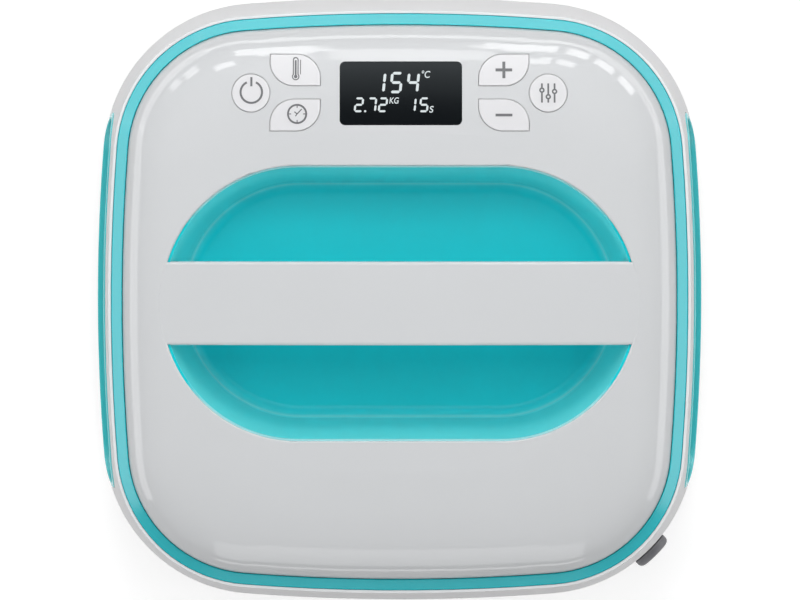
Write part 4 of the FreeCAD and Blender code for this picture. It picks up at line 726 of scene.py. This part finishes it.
class Room(Finish):
    """The world's own nodes, used in the way of a finish."""

    def __init__(self, name):
        self.world = bpy.data.worlds.new(name)
        bpy.context.scene.world = self.world
        self.world.use_nodes = True
        self.tree = self.world.node_tree
        self.shader = self.tree.nodes["Background"]
        self.place = self.node("ShaderNodeTexCoord", {}, {}, "Generated")


def make_room():
    """A pale room, white at the horizon and dark overhead, that gives more light from the rear."""
    room = Room("studio_room")
    rearward = room.node("ShaderNodeSeparateXYZ", {}, {"Vector": room.place}, "Y")
    up = room.node("ShaderNodeSeparateXYZ", {}, {"Vector": room.place}, "Z")
    mirrored = room.ramp(
        up, (0.07, 1.0), (0.19, 0.50), (0.45, 0.60), (0.80, 0.80), (0.95, 0.34), (1.0, 0.04))
    lopsided = room.ramp(rearward * 0.5 + 0.5, (0.0, 0.10), (0.35, 0.45), (1.0, 0.85))
    level = room.ramp(up, (0.0, 1.0), (0.8, 0.62))
    light = room.blend(1.0, lopsided, level, "MULTIPLY")
    room.shine(Color=room.blend(background_rays(room), light, mirrored))


def panel(name, bearing, elevation, distance, width, height, radiance):
    """A lamp that faces the press; bearing and elevation are degrees, and bearing 0 is behind it."""
    turn, rise = math.radians(bearing), math.radians(elevation)
    away = Vector((math.sin(turn) * math.cos(rise), math.cos(turn) * math.cos(rise), math.sin(rise)))
    bpy.ops.object.light_add(type="AREA", location=away * distance + Vector((0, 0, LAMP_AIM)))
    lamp = bpy.context.object
    lamp.name = name
    lamp.rotation_euler = away.to_track_quat("Z", "Y").to_euler()
    lamp.data.shape = "RECTANGLE"
    lamp.data.size = width
    lamp.data.size_y = height
    lamp.data.energy = radiance * width * height * math.pi
    lamp.visible_camera = False
    return lamp


def soft_light(name, bearing, elevation, distance, width, height, radiance):
    """A panel that only lights: its outline doesn't show in the gloss."""
    panel(name, bearing, elevation, distance, width, height, radiance).visible_glossy = False


def window(name, bearing, elevation, width, height, radiance):
    """A panel that only shows in the gloss, as a far window does."""
    panel(name, bearing, elevation, WINDOW_DISTANCE, width, height, radiance).visible_diffuse = False


def make_soft_lights():
    """Soft light from all sides, most of it from above and behind."""
    # bearing, elevation, distance, width, height, radiance
    soft_light("rear_key", 0, 73, 0.62, 0.35, 0.25, 4.1)
    soft_light("rear_fill", 0, 46, 1.0, 0.56, 0.31, 3.8)
    soft_light("front_fill", 180, 46, FILL_DISTANCE, 1.0, 0.8, 2.7)
    for bearing in (-90, 90):
        soft_light("side_fill", bearing, 21, FILL_DISTANCE, 1.0, 0.6, 2.5)


def make_windows():
    """Broad windows low down all round, and small panes that glint in the two rear corners."""
    # bearing, elevation, width, height, radiance
    window("centre_window", 0.6, 41.5, 0.27, 0.35, 3.1)
    window("rear_low_window", 0, 12.5, 2.20, 0.35, 3.7)
    window("front_low_window", 180, 4, 1.75, 0.26, 2.2)
    window("front_high_window", 180, 29, 1.75, 0.95, 1.4)
    for bearing in (-96, -50, 50, 96):
        window("side_low_window", bearing, 10.5, 1.90, 0.86, 2.4)
    for bearing in (9, 23, 36, 49):
        window("right_pane", bearing, 29, 0.32, 0.40, 6.0)
    for bearing in (10, 21):
        window("right_high_pane", bearing, 44, 0.22, 0.20, 5.0)
    window("left_pane", -11, 34, 0.44, 0.34, 5.6)
    window("left_high_pane", -25, 44, 0.26, 0.18, 5.5)
    window("left_far_pane", -39, 34, 0.22, 0.34, 4.2)
    window("left_last_pane", -48, 32, 0.18, 0.34, 3.8)


make_floor()
make_room()
make_soft_lights()
make_windows()
bpy.context.scene.view_settings.view_transform = "Standard"
